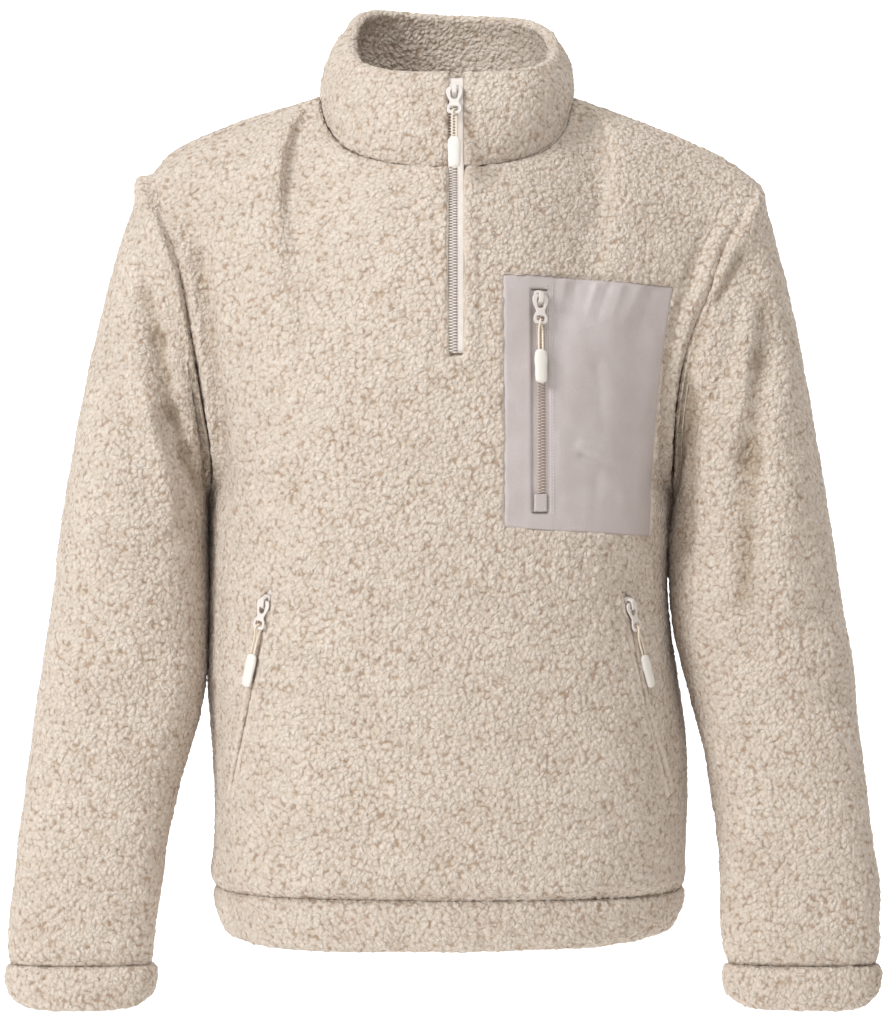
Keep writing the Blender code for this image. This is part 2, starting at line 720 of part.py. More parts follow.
def collar_rings(seam, seam_normals, turns, sides):
    """Rings of the collar: up its outer side, over its rolled top edge and down inside."""
    rings = []
    for point, normal, turn, side in zip(seam, seam_normals, turns, sides):
        reach = COLLAR_TOP_FRONT if side < 0 else COLLAR_TOP_BACK
        square = COLLAR_SQUARE_FRONT if side < 0 else COLLAR_SQUARE_BACK
        out = unit(np.array([-math.cos(turn), side * math.sin(turn) * 1.1, 0.0]))
        across = (math.cos(turn) - square * math.cos(3 * turn)) / (1 - square)
        away = side * (math.sin(turn) + square * math.sin(3 * turn)) / (1 - square)
        top_y = NECK_Y + reach * away
        # The rim falls steadily from its sides to the front, and is nearly level behind them.
        late = COLLAR_BACK_ROUND[0] + (COLLAR_BACK_ROUND[1] - COLLAR_BACK_ROUND[0]) * (1 + across) / 2
        slope = (1 + away) / 2 if away < 0 else 1 - 0.5 * (1 - min(away, 1)) ** late
        rim = COLLAR_FRONT_Z + (COLLAR_BACK_Z - COLLAR_FRONT_Z) * slope + COLLAR_TILT * across * slope
        top = np.array([COLLAR_TOP_X - COLLAR_TOP_HALF_WIDTH * across, top_y, rim])
        rise = top - point
        half = COLLAR_THICK / 2
        outside = [
            point + rise * share + out * COLLAR_BULGE * math.sin(math.pi * share)
            for share in (0, 0.08, 0.3, 0.55, 0.78)
        ]
        roll_middle = top - out * half - np.array([0, 0, half])
        roll = [
            roll_middle + out * half * math.cos(angle) + np.array([0, 0, half * math.sin(angle)])
            for angle in np.radians((0, 35, 70, 110, 145, 180))
        ]
        inside = [outside[k] - out * COLLAR_THICK for k in (4, 3, 2)]
        inside.append(point - out * COLLAR_THICK + np.array([0, 0, COLLAR_FOOT_RISE]))
        inside.append(point - normal * FLEECE)
        rings.append(np.array(outside + roll + inside))
    return np.array(rings)


def build_cloth(finish):
    """The fleece pieces. Returns the objects by name, and the surface that zips and pockets lie on."""
    across, neck_from, neck_to = columns_across()
    up = rows_up(BODY_ROWS, YOKE_ROWS)
    armpit = len(up) - YOKE_ROWS - 1
    front, front_normals = panel("front", across, up)
    back, back_normals = panel("back", across, up)

    made = {}
    down = np.concatenate([SLEEVE_HEAD_ROWS, np.linspace(1, 2, SLEEVE_ROWS + 1)[1:]])
    sleeves = {}
    for which, edge in (("left", 0), ("right", -1)):
        rim = [front[edge, :armpit - 1:-1], back[edge, armpit + 1:-1]]
        rim_normals = [front_normals[edge, :armpit - 1:-1], back_normals[edge, armpit + 1:-1]]
        armhole = np.concatenate(rim)
        body_normals = np.concatenate(rim_normals)
        grid, normals = sleeve(which, armhole, down)
        seam = shared(body_normals, normals[:, 0])
        size = YOKE_ROWS + 1
        seam[0] = shared(front_normals[edge, -1], back_normals[edge, -1], normals[0, 0])
        downward = np.array([0, 0, -1.0])
        seam[size - 1] = shared(downward, 0.3 * (front_normals[edge, armpit] + normals[size - 1, 0]))
        normals[:, 0] = seam
        front_normals[edge, :armpit - 1:-1] = seam[:size]
        back_normals[edge, armpit + 1:-1] = seam[size:]
        back_normals[edge, -1] = seam[0]
        back_normals[edge, armpit] = seam[size - 1]
        sleeves[which] = (grid, normals)

    for edge in (0, -1):
        side = shared(front_normals[edge, :armpit], back_normals[edge, :armpit])
        front_normals[edge, :armpit] = side
        back_normals[edge, :armpit] = side
    for part in (slice(1, neck_from), slice(neck_to + 1, -1)):
        shoulder = shared(front_normals[part, -1], back_normals[part, -1])
        front_normals[part, -1] = shoulder
        back_normals[part, -1] = shoulder

    # The neck seam goes round the front from left to right and comes back round the back.
    front_neck = front[neck_from:neck_to + 1, -1]
    back_neck = back[neck_from:neck_to + 1, -1]
    loop = np.concatenate([front_neck, back_neck[-2:0:-1]])
    half_turn = np.linspace(0, math.pi, NECK_COLUMNS + 1)
    turns = np.concatenate([half_turn, half_turn[-2:0:-1]])
    sides = np.array([-1] * (NECK_COLUMNS + 1) + [1] * (NECK_COLUMNS - 1))
    behind = back_normals[neck_from + 1:neck_to, -1][::-1]
    body = np.concatenate([front_normals[neck_from:neck_to + 1, -1], behind])
    for k, index in ((0, neck_from), (NECK_COLUMNS, neck_to)):
        body[k] = shared(front_normals[index, -1], back_normals[index, -1])
    upright = unit(points(-np.cos(turns), sides * np.sin(turns), 0.0))
    neck_normals = shared(body, upright)
    front_normals[neck_from:neck_to + 1, -1] = neck_normals[:NECK_COLUMNS + 1]
    back_normals[neck_from + 1:neck_to, -1] = neck_normals[:NECK_COLUMNS:-1]
    back_normals[neck_from, -1] = neck_normals[0]
    back_normals[neck_to, -1] = neck_normals[NECK_COLUMNS]
    lifted = loop + np.array([0, 0, COLLAR_LIFT])
    made["collar"] = loft("collar", collar_rings(lifted, neck_normals, turns, sides), finish, closed=True)

    # The hem seam goes round in the same way.
    hem = np.concatenate([front[:, 0], back[-2:0:-1, 0]])
    hem_normals = np.concatenate([front_normals[:, 0], back_normals[-2:0:-1, 0]])
    level = unit(hem_normals * (1, 1, 0))
    hem_normals = shared(hem_normals, level * 2)
    front_normals[:, 0] = hem_normals[:len(across)]
    back_normals[1:-1, 0] = hem_normals[:len(across) - 1:-1]
    back_normals[0, 0] = hem_normals[0]
    back_normals[-1, 0] = hem_normals[len(across) - 1]
    lowered = hem - np.array([0, 0, SEAM_GAP])
    hem_rings = band_rings(lowered, hem_normals, HEM_Z, HEM_TAPER, HEM_ROUND, HEM_TILT)
    made["hem_band"] = loft("hem_band", hem_rings, finish, closed=True)

    for name, grid, normals in (("front_panel", front, front_normals), ("back_panel", back, back_normals)):
        eased = inset(inset(grid, True, True, 0), False, True, 1)
        made[name] = wall(name, eased, normals, FLEECE, finish)

    for which, (grid, normals) in sleeves.items():
        name = "sleeve_" + which
        cuff_normals = unit(normals[:, -1] * (1, 1, 0))
        normals[:, -1] = cuff_normals
        eased = inset(grid, True, False, 1)
        made[name] = wall(name, eased, normals, FLEECE, finish, closed=True)
        start = grid[:, -1] - np.array([0, 0, SEAM_GAP])
        rings = band_rings(start, cuff_normals, CUFF_END_Z, CUFF_TAPER, CUFF_ROUND)
        made["cuff_" + which] = loft("cuff_" + which, rings, finish, closed=True)
    return made


def front_surface():
    """The outer surface of the front panel and the front of the collar, fine enough to lay pieces on."""
    across = np.linspace(0, 1, 121)
    up = np.concatenate([np.linspace(-1, 0, 81), np.linspace(0, 1, 81)[1:]])
    grid, _ = panel("front", across, up)
    turns = np.linspace(math.radians(20), math.radians(160), 57)
    seam = neck_point(turns, "front")
    rings = collar_rings(seam, points(0, -1, 0) + seam * 0, turns, -np.ones(len(turns)))
    return Surface([grid, rings[:, :7]])


# ---------------------------------------------------------------- zips, pocket and pullers


def frames_along(surface, path_x, path_z):
    """Points on the cloth along a path seen from the front, each with its outward, up and side directions."""
    spots = [surface.at(x, z) for x, z in zip(path_x, path_z)]
    where = np.array([spot[0] for spot in spots])
    up = unit(-np.gradient(where, axis=0))
    aside = unit(np.cross(up, np.array([spot[1] for spot in spots])))
    out = unit(np.cross(aside, up))
    return where, out, up, aside


def strip(name, frames, half_width, low, high, finish, is_smooth=False):
    """A flat strip along a path: its section is a rectangle from depth low to depth high."""
    where, out, _, aside = frames
    rings = [
        np.array([p + a * half_width * s + n * d for s, d in ((-1, low), (1, low), (1, high), (-1, high))])
        for p, n, a in zip(where, out, aside)
    ]
    return loft(name, rings, finish, is_smooth=is_smooth)


def ring_block(name, frame, outline, low, high, finish):
    """An outline in a frame's sideways and up directions, thickened along its outward direction."""
    where, out, up, aside = frame
    rings = [[where + aside * s + up * t + out * d for s, t in outline] for d in (low, high)]
    return loft(name, np.array(rings), finish, is_smooth=False)


def slider(name, frame, finish):
    """A slider's body with the bridge that its puller hangs on. The bridge's hole runs across the zip."""
    where, out, up, aside = frame
    half = SLIDER_LENGTH / 2
    wide = SLIDER_HALF_WIDTH
    # The body is widest near its top, where the two rows of teeth go in.
    outline = [
        (-wide * 0.62, -half), (wide * 0.62, -half), (wide * 0.74, -half * 0.3), (wide, half * 0.5),
        (wide * 0.8, half), (-wide * 0.8, half), (-wide, half * 0.5), (-wide * 0.74, -half * 0.3),
    ]
    body = ring_block(name, frame, outline, 0.0, SLIDER_THICK, finish)
    # The bridge is an arch along the zip, seen from the side: places along the zip and heights over the body.
    reach = BRIDGE_LENGTH / 2
    sunk = -1.0
    arch = [
        (-reach, sunk), (-reach, 1.6), (-reach + 1.6, BRIDGE_HEIGHT), (reach - 1.6, BRIDGE_HEIGHT),
        (reach, 1.6), (reach, sunk), (reach - 1.6, sunk), (reach - 1.6, 1.4),
        (reach - 2.6, BRIDGE_HEIGHT - 1.3), (-reach + 2.6, BRIDGE_HEIGHT - 1.3),
        (-reach + 1.6, 1.4), (-reach + 1.6, sunk),
    ]
    rings = [
        [where + aside * s + up * t + out * (SLIDER_THICK + d) for t, d in arch]
        for s in (-BRIDGE_HALF_WIDTH, BRIDGE_HALF_WIDTH)
    ]
    bridge = loft(name + "_bridge", np.array(rings), finish, is_smooth=False)
    join = body.modifiers.new("bridge", "BOOLEAN")
    join.operation = "UNION"
    join.solver = "EXACT"
    join.object = bridge
    bridge.hide_render = True
    bridge.display_type = "WIRE"
    return body


def pull_frame(frame, lean):
    """The frame of a puller at its hinge, leaning out from the zip by an angle."""
    where, out, up, aside = frame
    hinge = where + out * (SLIDER_THICK + HINGE_RISE) + up * (SLIDER_LENGTH * HINGE_SHARE)
    turned_up = up * math.cos(lean) - out * math.sin(lean)
    turned_out = out * math.cos(lean) + up * math.sin(lean)
    return hinge, turned_out, turned_up, aside


def pull_tab(name, frame, finish):
    """The metal tab: a bar through the bridge, two arms that narrow to a waist, and an eye for the cord."""
    where, out, up, aside = frame
    half = PULL_THICK / 2
    outline = [
        (-5.6, 0.4), (-2.6, 0.9), (2.6, 0.9), (5.6, 0.4), (6.6, -2.8), (5.9, -6.3), (3.6, -11.3), (3.4, -12.8),
        (5.6, -16.3), (5.8, -19.8), (4.2, -22.4), (-4.2, -22.4), (-5.8, -19.8), (-5.6, -16.3), (-3.4, -12.8),
        (-3.6, -11.3), (-5.9, -6.3), (-6.6, -2.8),
    ]
    plate = ring_block(name, frame, outline, -half, half, finish)
    slot_outline = [(-2.9, -0.8), (2.9, -0.8), (2.9, -8.0), (1.6, -9.8), (-1.6, -9.8), (-2.9, -8.0)]
    eye_outline = [(-3.2, -15.7), (3.2, -15.7), (3.6, -18.2), (2.6, -20.1), (-2.6, -20.1), (-3.6, -18.2)]
    for label, hole in (("slot", slot_outline), ("eye", eye_outline)):
        cut(plate, ring_block(f"{name}_{label}", frame, hole, -half - 1, half + 1, finish))
    return plate


def pull_cord(name, frame, finish):
    """A cord loop through the tab's eye, whose two legs end in the moulded piece."""
    where, out, up, aside = frame
    # One leg goes behind the tab's foot and one before it: side, outward and up distances from the hinge.
    leg = LEG_SPACING
    route = [
        (-leg, 0.0, CORD_END_Z), (-leg, 0.0, -31.8), (-leg, 0.5, -26.3), (-leg * 0.9, 1.6, -22.8),
        (-0.9, 1.7, -20.4), (-0.2, 0.6, EYE_Z + 0.5), (0.2, -0.6, EYE_Z + 0.5), (0.9, -1.7, -20.4),
        (leg * 0.9, -1.6, -22.8), (leg, -0.5, -26.3), (leg, 0.0, -31.8), (leg, 0.0, CORD_END_Z),
    ]
    keys = np.linspace(0, 1, len(route))
    finer = np.linspace(0, 1, CORD_RINGS)
    local = np.array([smooth(keys, np.array(column), finer) for column in zip(*route)]).T
    path = [where + aside * s + out * d + up * t for s, d, t in local]
    return tube(name, path, CORD_RADIUS, 5, finish)


def tube(name, path, radius, sides, finish):
    path = np.array(path)
    along = unit(np.gradient(path, axis=0))
    first = unit(np.cross(along[0], (0.3, 0.9, 0.2)))
    rings = []
    for point, ahead in zip(path, along):
        first = unit(first - ahead * np.dot(first, ahead))
        second = np.cross(ahead, first)
        rings.append([
            point + radius * (first * math.cos(turn) + second * math.sin(turn))
            for turn in np.linspace(0, 2 * math.pi, sides, endpoint=False)
        ])
    return loft(name, np.array(rings), finish)


def pull_end(name, frame, finish):
    """The soft moulded end of a puller, an oval rod with round ends."""
    where, out, up, aside = frame
    rings = []
    for share, swell in zip(END_PROFILE["share"], END_PROFILE["swell"]):
        centre = where + up * (CORD_END_Z - SEAM_GAP - END_LENGTH * share)
        wide = aside * END_HALF_WIDTH * swell
        deep = out * END_HALF_THICK * swell
        turns = np.linspace(0, 2 * math.pi, END_SIDES, endpoint=False)
        rings.append([centre + wide * math.cos(turn) + deep * math.sin(turn) for turn in turns])
    return loft(name, np.array(rings), finish)


def puller(prefix, frame, finishes):
    """A puller's three pieces. An empty on the hinge's axis carries them."""
    hinged = pull_frame(frame, math.radians(PULLER_LEAN[prefix]))
    pivot = bpy.data.objects.new(prefix + "_hinge", None)
    pivot.location = hinged[0] * MM
    bpy.context.scene.collection.objects.link(pivot)
    pieces = [
        pull_tab(prefix + "_pull_tab", hinged, finishes["metal"]),
        pull_cord(prefix + "_pull_cord", hinged, finishes["cord"]),
        pull_end(prefix + "_pull_end", hinged, finishes["end"]),
    ]
    for piece in pieces:
        piece.parent = pivot
        piece.matrix_parent_inverse.translation = -pivot.location
    return pieces


def sunk_frame(frames, index, depth):
    where, out, up, aside = (part[index] for part in frames)
    return where + out * depth, out, up, aside


def front_zip(surface, cloth, finishes):
    """The front zip: a slit through the panel and the collar, the tape, the slider and its puller."""
    z = np.concatenate([[ZIP_TOP_Z], np.linspace(12, -40, 6), np.linspace(-51, ZIP_FOOT_Z, 9)])
    x = np.full(len(z), ZIP_X)
    frames = frames_along(surface, x, z)
    where, out, up, aside = frames
    longer = tuple(
        np.concatenate([[first], part]) for first, part in
        zip((where[0] + up[0] * 30, out[0], up[0], aside[0]), frames)
    )
    for name, piece in (("front_slit", cloth["front_panel"]), ("collar_slit", cloth["collar"])):
        cut(piece, strip(name, longer, ZIP_SLIT / 2, -22, 12, finishes["fleece"]))
    ends = tuple(part.copy() for part in frames)
    ends[0][-1] += ends[2][-1] * SEAM_GAP
    tape_low = -TAPE_DEPTH - TAPE_THICK
    strip("front_zip", ends, ZIP_SLIT / 2 - SEAM_GAP, tape_low, -TAPE_DEPTH, finishes["tape"])
    place = [FRONT_SLIDER_Z + SLIDER_LENGTH / 2, FRONT_SLIDER_Z, FRONT_SLIDER_Z - SLIDER_LENGTH / 2]
    seat = sunk_frame(frames_along(surface, [ZIP_X] * 3, place), 1, -TAPE_DEPTH + SEAM_GAP)
    slider("front_slider", seat, finishes["metal"])
    puller("front", seat, finishes)


def chest_point(surface, share_x, share_z, lift):
    """A point over the chest pocket, from shares across and down between its corners."""
    x, z = CHEST_CORNERS["x"], CHEST_CORNERS["z"]
    top = np.array([x[0], z[0]]) * (1 - share_x) + np.array([x[1], z[1]]) * share_x
    foot = np.array([x[3], z[3]]) * (1 - share_x) + np.array([x[2], z[2]]) * share_x
    px, pz = top * (1 - share_z) + foot * share_z
    where, out = surface.at(px, pz)
    return where + out * lift


def chest_slab(name, surface, margin, low, high, finish):
    """A slab over the whole chest pocket between two depths, reaching past it by a margin."""
    width = CHEST_CORNERS["x"][1] - CHEST_CORNERS["x"][0]
    height = CHEST_CORNERS["z"][0] - CHEST_CORNERS["z"][3]
    across = down = np.linspace(0, 1, CHEST_ROWS + 1)
    if margin:
        across = np.concatenate([[-margin / width], across, [1 + margin / width]])
        down = np.concatenate([[-margin / height], down, [1 + margin / height]])
    outer = np.array([[chest_point(surface, s, t, high) for t in down] for s in across])
    inner = np.array([[chest_point(surface, s, t, low) for t in down] for s in across])
    return wall(name, outer, unit(outer - inner), high - low, finish)


def chest_pocket(surface, cloth, finishes):
    """The woven patch in a shallow seat in the fleece, with a slot in which its zip lies."""
    seat = chest_slab("chest_seat", surface, 0.6, -CHEST_RECESS, 6.0, finishes["fleece"])
    cut(cloth["front_panel"], seat)
    low = -CHEST_RECESS + SEAM_GAP * 1.5
    high = low + WOVEN
    patch = chest_slab("chest_pocket", surface, 0.0, low, high, finishes["woven"])
    z = np.linspace(CHEST_ZIP_TOP_Z, CHEST_ZIP_FOOT_Z, 10)
    frames = frames_along(surface, np.full(len(z), CHEST_ZIP_X), z)
    cut(patch, strip("chest_slot", frames, CHEST_SLOT / 2, -8, 6, finishes["woven"]))
    ends = tuple(part.copy() for part in frames)
    ends[0][0] -= ends[2][0] * SEAM_GAP
    ends[0][-1] += ends[2][-1] * SEAM_GAP
    strip("chest_zip", ends, CHEST_SLOT / 2 - SEAM_GAP, low, high - 0.1, finishes["tape"])
    stop_z = np.linspace(CHEST_ZIP_FOOT_Z + 1 + CHEST_STOP_LENGTH, CHEST_ZIP_FOOT_Z + 1, 3)
    stop = frames_along(surface, [CHEST_ZIP_X] * 3, stop_z)
    strip("chest_zip_stop", stop, CHEST_STOP_WIDTH / 2, high + 0.2, high + 1.3, finishes["woven"])
    place = [CHEST_SLIDER_Z + SLIDER_LENGTH / 2, CHEST_SLIDER_Z, CHEST_SLIDER_Z - SLIDER_LENGTH / 2]
    seat = sunk_frame(frames_along(surface, [CHEST_SLIDER_X] * 3, place), 1, high - 0.1 + SEAM_GAP)
    slider("chest_slider", seat, finishes["metal"])
    puller("chest", seat, finishes)


def hand_pocket(prefix, line, surface, cloth, finishes):
    """A slanted slit in the front with its zip, slider and puller."""
    tape_low = -TAPE_DEPTH - TAPE_THICK
    z = np.linspace(line["z"][0], line["z"][-1], 11)
    x = smooth(line["z"], line["x"], z)
    frames = frames_along(surface, x, z)
    cut(cloth["front_panel"], strip(prefix + "_slit", frames, POCKET_SLIT / 2, -10, 4, finishes["fleece"]))
    ends = tuple(part.copy() for part in frames)
    ends[0][0] -= ends[2][0] * SEAM_GAP
    ends[0][-1] += ends[2][-1] * SEAM_GAP
    strip(prefix + "_zip", ends, POCKET_SLIT / 2 - SEAM_GAP, tape_low, -TAPE_DEPTH, finishes["tape"])
    at = z[0] - SLIDER_FROM_TOP
    place = np.array([at + SLIDER_LENGTH / 2, at, at - SLIDER_LENGTH / 2])
    spots = frames_along(surface, smooth(line["z"], line["x"], place), place)
    seat = sunk_frame(spots, 1, -TAPE_DEPTH + SEAM_GAP)
    slider(prefix + "_slider", seat, finishes["metal"])
    puller(prefix, seat, finishes)


def clear_scene():
    for thing in list(bpy.data.objects):
        bpy.data.objects.remove(thing)


def main():
    clear_scene()
    finishes = {
        "fleece": material("sherpa fleece", (0.72, 0.61, 0.50), 0.95),
        "woven": material("woven satin", (0.66, 0.60, 0.57), 0.45),
        "tape": material("zip tape", (0.74, 0.66, 0.59), 0.75),
        "metal": material("painted metal", (0.80, 0.77, 0.72), 0.35, 0.1),
        "cord": material("cord", (0.78, 0.70, 0.60), 0.8),
        "end": material("moulded end", (0.86, 0.82, 0.74), 0.5),
    }
    cloth = build_cloth(finishes["fleece"])
    surface = front_surface()
    front_zip(surface, cloth, finishes)
    chest_pocket(surface, cloth, finishes)
    hand_pocket("pocket_left", POCKET_LEFT, surface, cloth, finishes)
    hand_pocket("pocket_right", POCKET_RIGHT, surface, cloth, finishes)


main()
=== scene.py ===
"""Looks of a sherpa fleece pullover: pile, woven patch, zips with teeth, pullers, light and camera.

Sizes are in millimetres and become metres when a mesh is made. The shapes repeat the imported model's own.
"""

import itertools
import json
import math

import bmesh
import bpy
import numpy as np
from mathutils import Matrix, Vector
from mathutils.bvhtree import BVHTree

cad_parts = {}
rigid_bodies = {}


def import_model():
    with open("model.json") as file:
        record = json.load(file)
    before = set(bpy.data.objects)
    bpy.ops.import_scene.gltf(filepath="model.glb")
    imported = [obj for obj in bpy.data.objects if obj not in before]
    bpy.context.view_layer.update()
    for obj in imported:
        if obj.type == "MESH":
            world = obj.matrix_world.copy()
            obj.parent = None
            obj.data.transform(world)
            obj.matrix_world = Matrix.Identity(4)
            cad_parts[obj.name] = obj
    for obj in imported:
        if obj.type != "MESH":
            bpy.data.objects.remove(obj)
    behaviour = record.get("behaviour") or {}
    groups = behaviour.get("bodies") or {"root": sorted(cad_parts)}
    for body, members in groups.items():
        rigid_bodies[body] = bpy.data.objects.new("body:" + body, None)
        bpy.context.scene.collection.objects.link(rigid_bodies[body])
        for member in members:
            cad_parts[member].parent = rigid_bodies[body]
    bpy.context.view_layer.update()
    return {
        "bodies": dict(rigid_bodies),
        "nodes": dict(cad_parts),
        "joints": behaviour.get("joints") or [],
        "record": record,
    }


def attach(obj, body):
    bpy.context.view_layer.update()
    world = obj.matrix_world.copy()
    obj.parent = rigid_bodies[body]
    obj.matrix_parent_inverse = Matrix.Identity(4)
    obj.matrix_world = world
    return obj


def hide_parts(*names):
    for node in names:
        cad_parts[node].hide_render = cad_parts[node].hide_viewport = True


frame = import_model()

MM = 0.001

# Cloth
FLEECE = 6.0  # fleece and its pile
COLLAR_THICK = 12.0  # fleece folded double
BAND_THICK = 9.0  # fleece folded double at the hem and the cuffs
WOVEN = 1.2
SEAM_GAP = 0.3
COLLAR_LIFT = 0.45
COLLAR_FOOT_RISE = 5.0  # the foot of the collar's inner layer stands above the seam

# Heights
ARMPIT_Z = -300.0
BODY_END_Z = -614.0
HEM_Z = -654.0
HEM_TILT = 0.012  # the hem hangs lower on the left
SLEEVE_TOP_Z = -345.0
CUFF_SEAM_Z = -669.0
CUFF_END_Z = -704.5

# Neck opening's base, an oval
NECK_X = -3.0
NECK_HALF_WIDTH = 101.0
NECK_FRONT = 88.0
NECK_BACK = 80.0
NECK_Y = -4.0
NECK_COLUMN = math.radians(58)  # the column of the body that ends at the side of the neck

# Collar
COLLAR_TOP_HALF_WIDTH = 87.5
COLLAR_TOP_FRONT = 80.0
COLLAR_TOP_BACK = 82.0
COLLAR_TOP_X = 1.7
COLLAR_FRONT_Z = 24.0
COLLAR_BACK_Z = 91.0
COLLAR_BACK_ROUND = (1.6, 2.4)  # how late the back of the rim falls towards its right and its left end
COLLAR_TILT = 4.0  # the back of the rim stands higher on the left
COLLAR_SQUARE_FRONT = 0.05
COLLAR_SQUARE_BACK = 0.01
COLLAR_BULGE = 5.0

# The corner between the shoulder and the neck softens down the chest, where each column follows its neighbours.
CORNER_EASE = [(0.5 * k / 4, (1 - abs(k) / 5) / 5.0) for k in range(-4, 5)]
CORNER_SPREAD = 0.16

# Armholes
ARMHOLE_FRONT = 58.0
ARMHOLE_BACK = 56.0
ARMHOLE_COLUMN = math.radians(24)  # how far round the body the armhole reaches at mid height

# The sleeve heads: how far they spread at the shoulder tip, and the soft ridge along the seam.
HEAD_SPREAD = {"left": 0.60, "right": 0.42}
HEAD_RIDGE = {"left": 7.5, "right": 3.0}

# Zips
ZIP_X = 3.0
ZIP_FOOT_Z = -199.0
ZIP_TOP_Z = 20.0
FRONT_SLIDER_Z = 8.0
TAPE_DEPTH = 3.2
TAPE_THICK = 1.6
POCKET_SLIT = 9.0
CHEST_SLOT = 16.4


def table(columns, *rows):
    """Rows of sizes under named columns."""
    return dict(zip(columns.split(), np.array(rows, float).T))


# The moulded ends of the pullers, from the cords down
END_PROFILE = table(
    "share swell",
    (0, 0.55), (0.05, 0.82), (0.17, 1), (0.58, 0.97), (0.85, 0.93), (0.97, 0.7), (1, 0.35),
)

# The body below the armpits: its left and right edge, its front and its back, from the armpit to the hem seam.
BODY = table(
    "z left right front back squareness",
    (-300, -189, 176, -138, 124, 0.030), (-350, -191, 173, -138, 121, 0.030),
    (-400, -192.5, 175, -137, 118, 0.030), (-450, -193.5, 182, -136, 117, 0.030),
    (-500, -190, 188.5, -134, 118, 0.035), (-550, -187.5, 189.5, -132, 119, 0.040),
    (-590, -189, 187.5, -131, 119, 0.040), (-606, -190, 187.5, -129, 117, 0.040),
    (-614, -187, 186, -124, 113, 0.040),
)

# The front edge of the neck opening falls towards the middle, and the back edge is nearly level.
NECK_EDGE = table(
    "turn front back",
    (0, 14, 14), (10, 0, 14), (22, -16, 13), (38, -33, 12), (56, -44, 11), (75, -50, 10), (90, -51, 10),
)

# The shoulder seams, from the neck to the tip of the shoulder.
SHOULDER_LEFT = table(
    "x z",
    (-103, 14), (-137, 4), (-167, -5.5), (-191, -15), (-211.5, -24), (-228.5, -34.5), (-238.5, -46.5),
)
SHOULDER_RIGHT = table(
    "x z",
    (99, 14), (125, 4.5), (150, -5), (176, -15), (199, -25), (220, -35), (235, -44), (243, -51),
)

# The armhole seams, seen from the front.
ARMHOLE_LEFT = table(
    "z x",
    (-300, -189), (-280, -188.5), (-240, -193), (-198, -199), (-174, -203), (-122, -214), (-80, -228),
    (-46.5, -238.5),
)
ARMHOLE_RIGHT = table(
    "z x",
    (-300, 176), (-280, 176), (-240, 177), (-198, 183), (-146, 201), (-107, 217), (-81, 232),
    (-51, 243),
)

# The sleeves below the armpit: the edges seen from the front, and the middle and half depth seen from the side.
SLEEVE_LEFT = table(
    "z outer inner middle half_depth",
    (-345, -310.5, -191.8, -14, 70), (-388, -315, -191.4, -22, 63), (-420, -319.5, -191.6, -27, 58),
    (-451, -324.0, -193.2, -31, 52), (-482, -328, -198.5, -35, 47), (-513, -331.7, -208.0, -39, 43),
    (-545, -335, -215.5, -43, 40), (-576, -339, -222.0, -47, 37), (-606, -342, -225.5, -50, 34),
    (-637, -345.5, -229.6, -54, 32), (-660, -346, -232.0, -57, 29), (-669, -345.5, -232.0, -57, 26.5),
)
SLEEVE_SQUARE = 0.03
SLEEVE_RIGHT = table(
    "z outer inner middle half_depth",
    (-345, 304.5, 173.8, -14, 70), (-388, 310, 174.6, -22, 63), (-420, 315.6, 178.5, -27, 58),
    (-451, 319.8, 186.2, -31, 52), (-482, 321.5, 194.3, -35, 47), (-513, 325.2, 201.0, -39, 43),
    (-545, 328.5, 206.4, -43, 40), (-576, 332, 210.0, -47, 37), (-606, 336.6, 211.9, -50, 34),
    (-637, 336.5, 212.0, -54, 32), (-660, 336, 214.0, -57, 29), (-669, 335.0, 216.0, -57, 25.5),
)

# The bands at the cuffs and the hem: how far each stands out from its seam, over its height.
BAND_PROFILE = table(
    "share out",
    (0.0, 0.0), (0.12, 2.8), (0.5, 3.4), (0.85, 1.5), (1.0, -1.5),
)
HEM_TAPER = 8.0
CUFF_TAPER = 0.0
CUFF_ROUND = 10.0
HEM_ROUND = 6.0  # how much higher the band's edge is at its two sides

# Large soft folds, seen from the front or the back: a trough has a negative depth, a ridge a positive one.
FOLD_COLUMNS = "facing x0 z0 x1 z1 width depth"
FRONT = -1
BACK = 1
FOLD_FACING = 1.6  # how soon a fold fades where the cloth turns away
BODY_FOLDS = table(
    FOLD_COLUMNS,
    (FRONT, -196, -120, -178, -300, 9, -5.0), (FRONT, 204, -130, 166, -300, 9, -6.0),
    (FRONT, 168, -300, 150, -400, 12, -4.0), (FRONT, 166, -400, 168, -520, 14, -4.5),
    (FRONT, -172, -310, -150, -420, 16, -3.0), (FRONT, -120, -470, -40, -540, 26, -2.5),
    (FRONT, 60, -480, 130, -560, 26, -2.5), (BACK, -196, -130, -172, -300, 12, -5.0),
    (BACK, 200, -130, 166, -300, 12, -5.0), (BACK, -150, -330, -90, -440, 20, -3.5),
    (BACK, 140, -330, 96, -450, 20, -3.5), (BACK, -80, -120, 70, -128, 24, -3.0),
    (BACK, -60, -500, 70, -520, 26, -3.0),
)
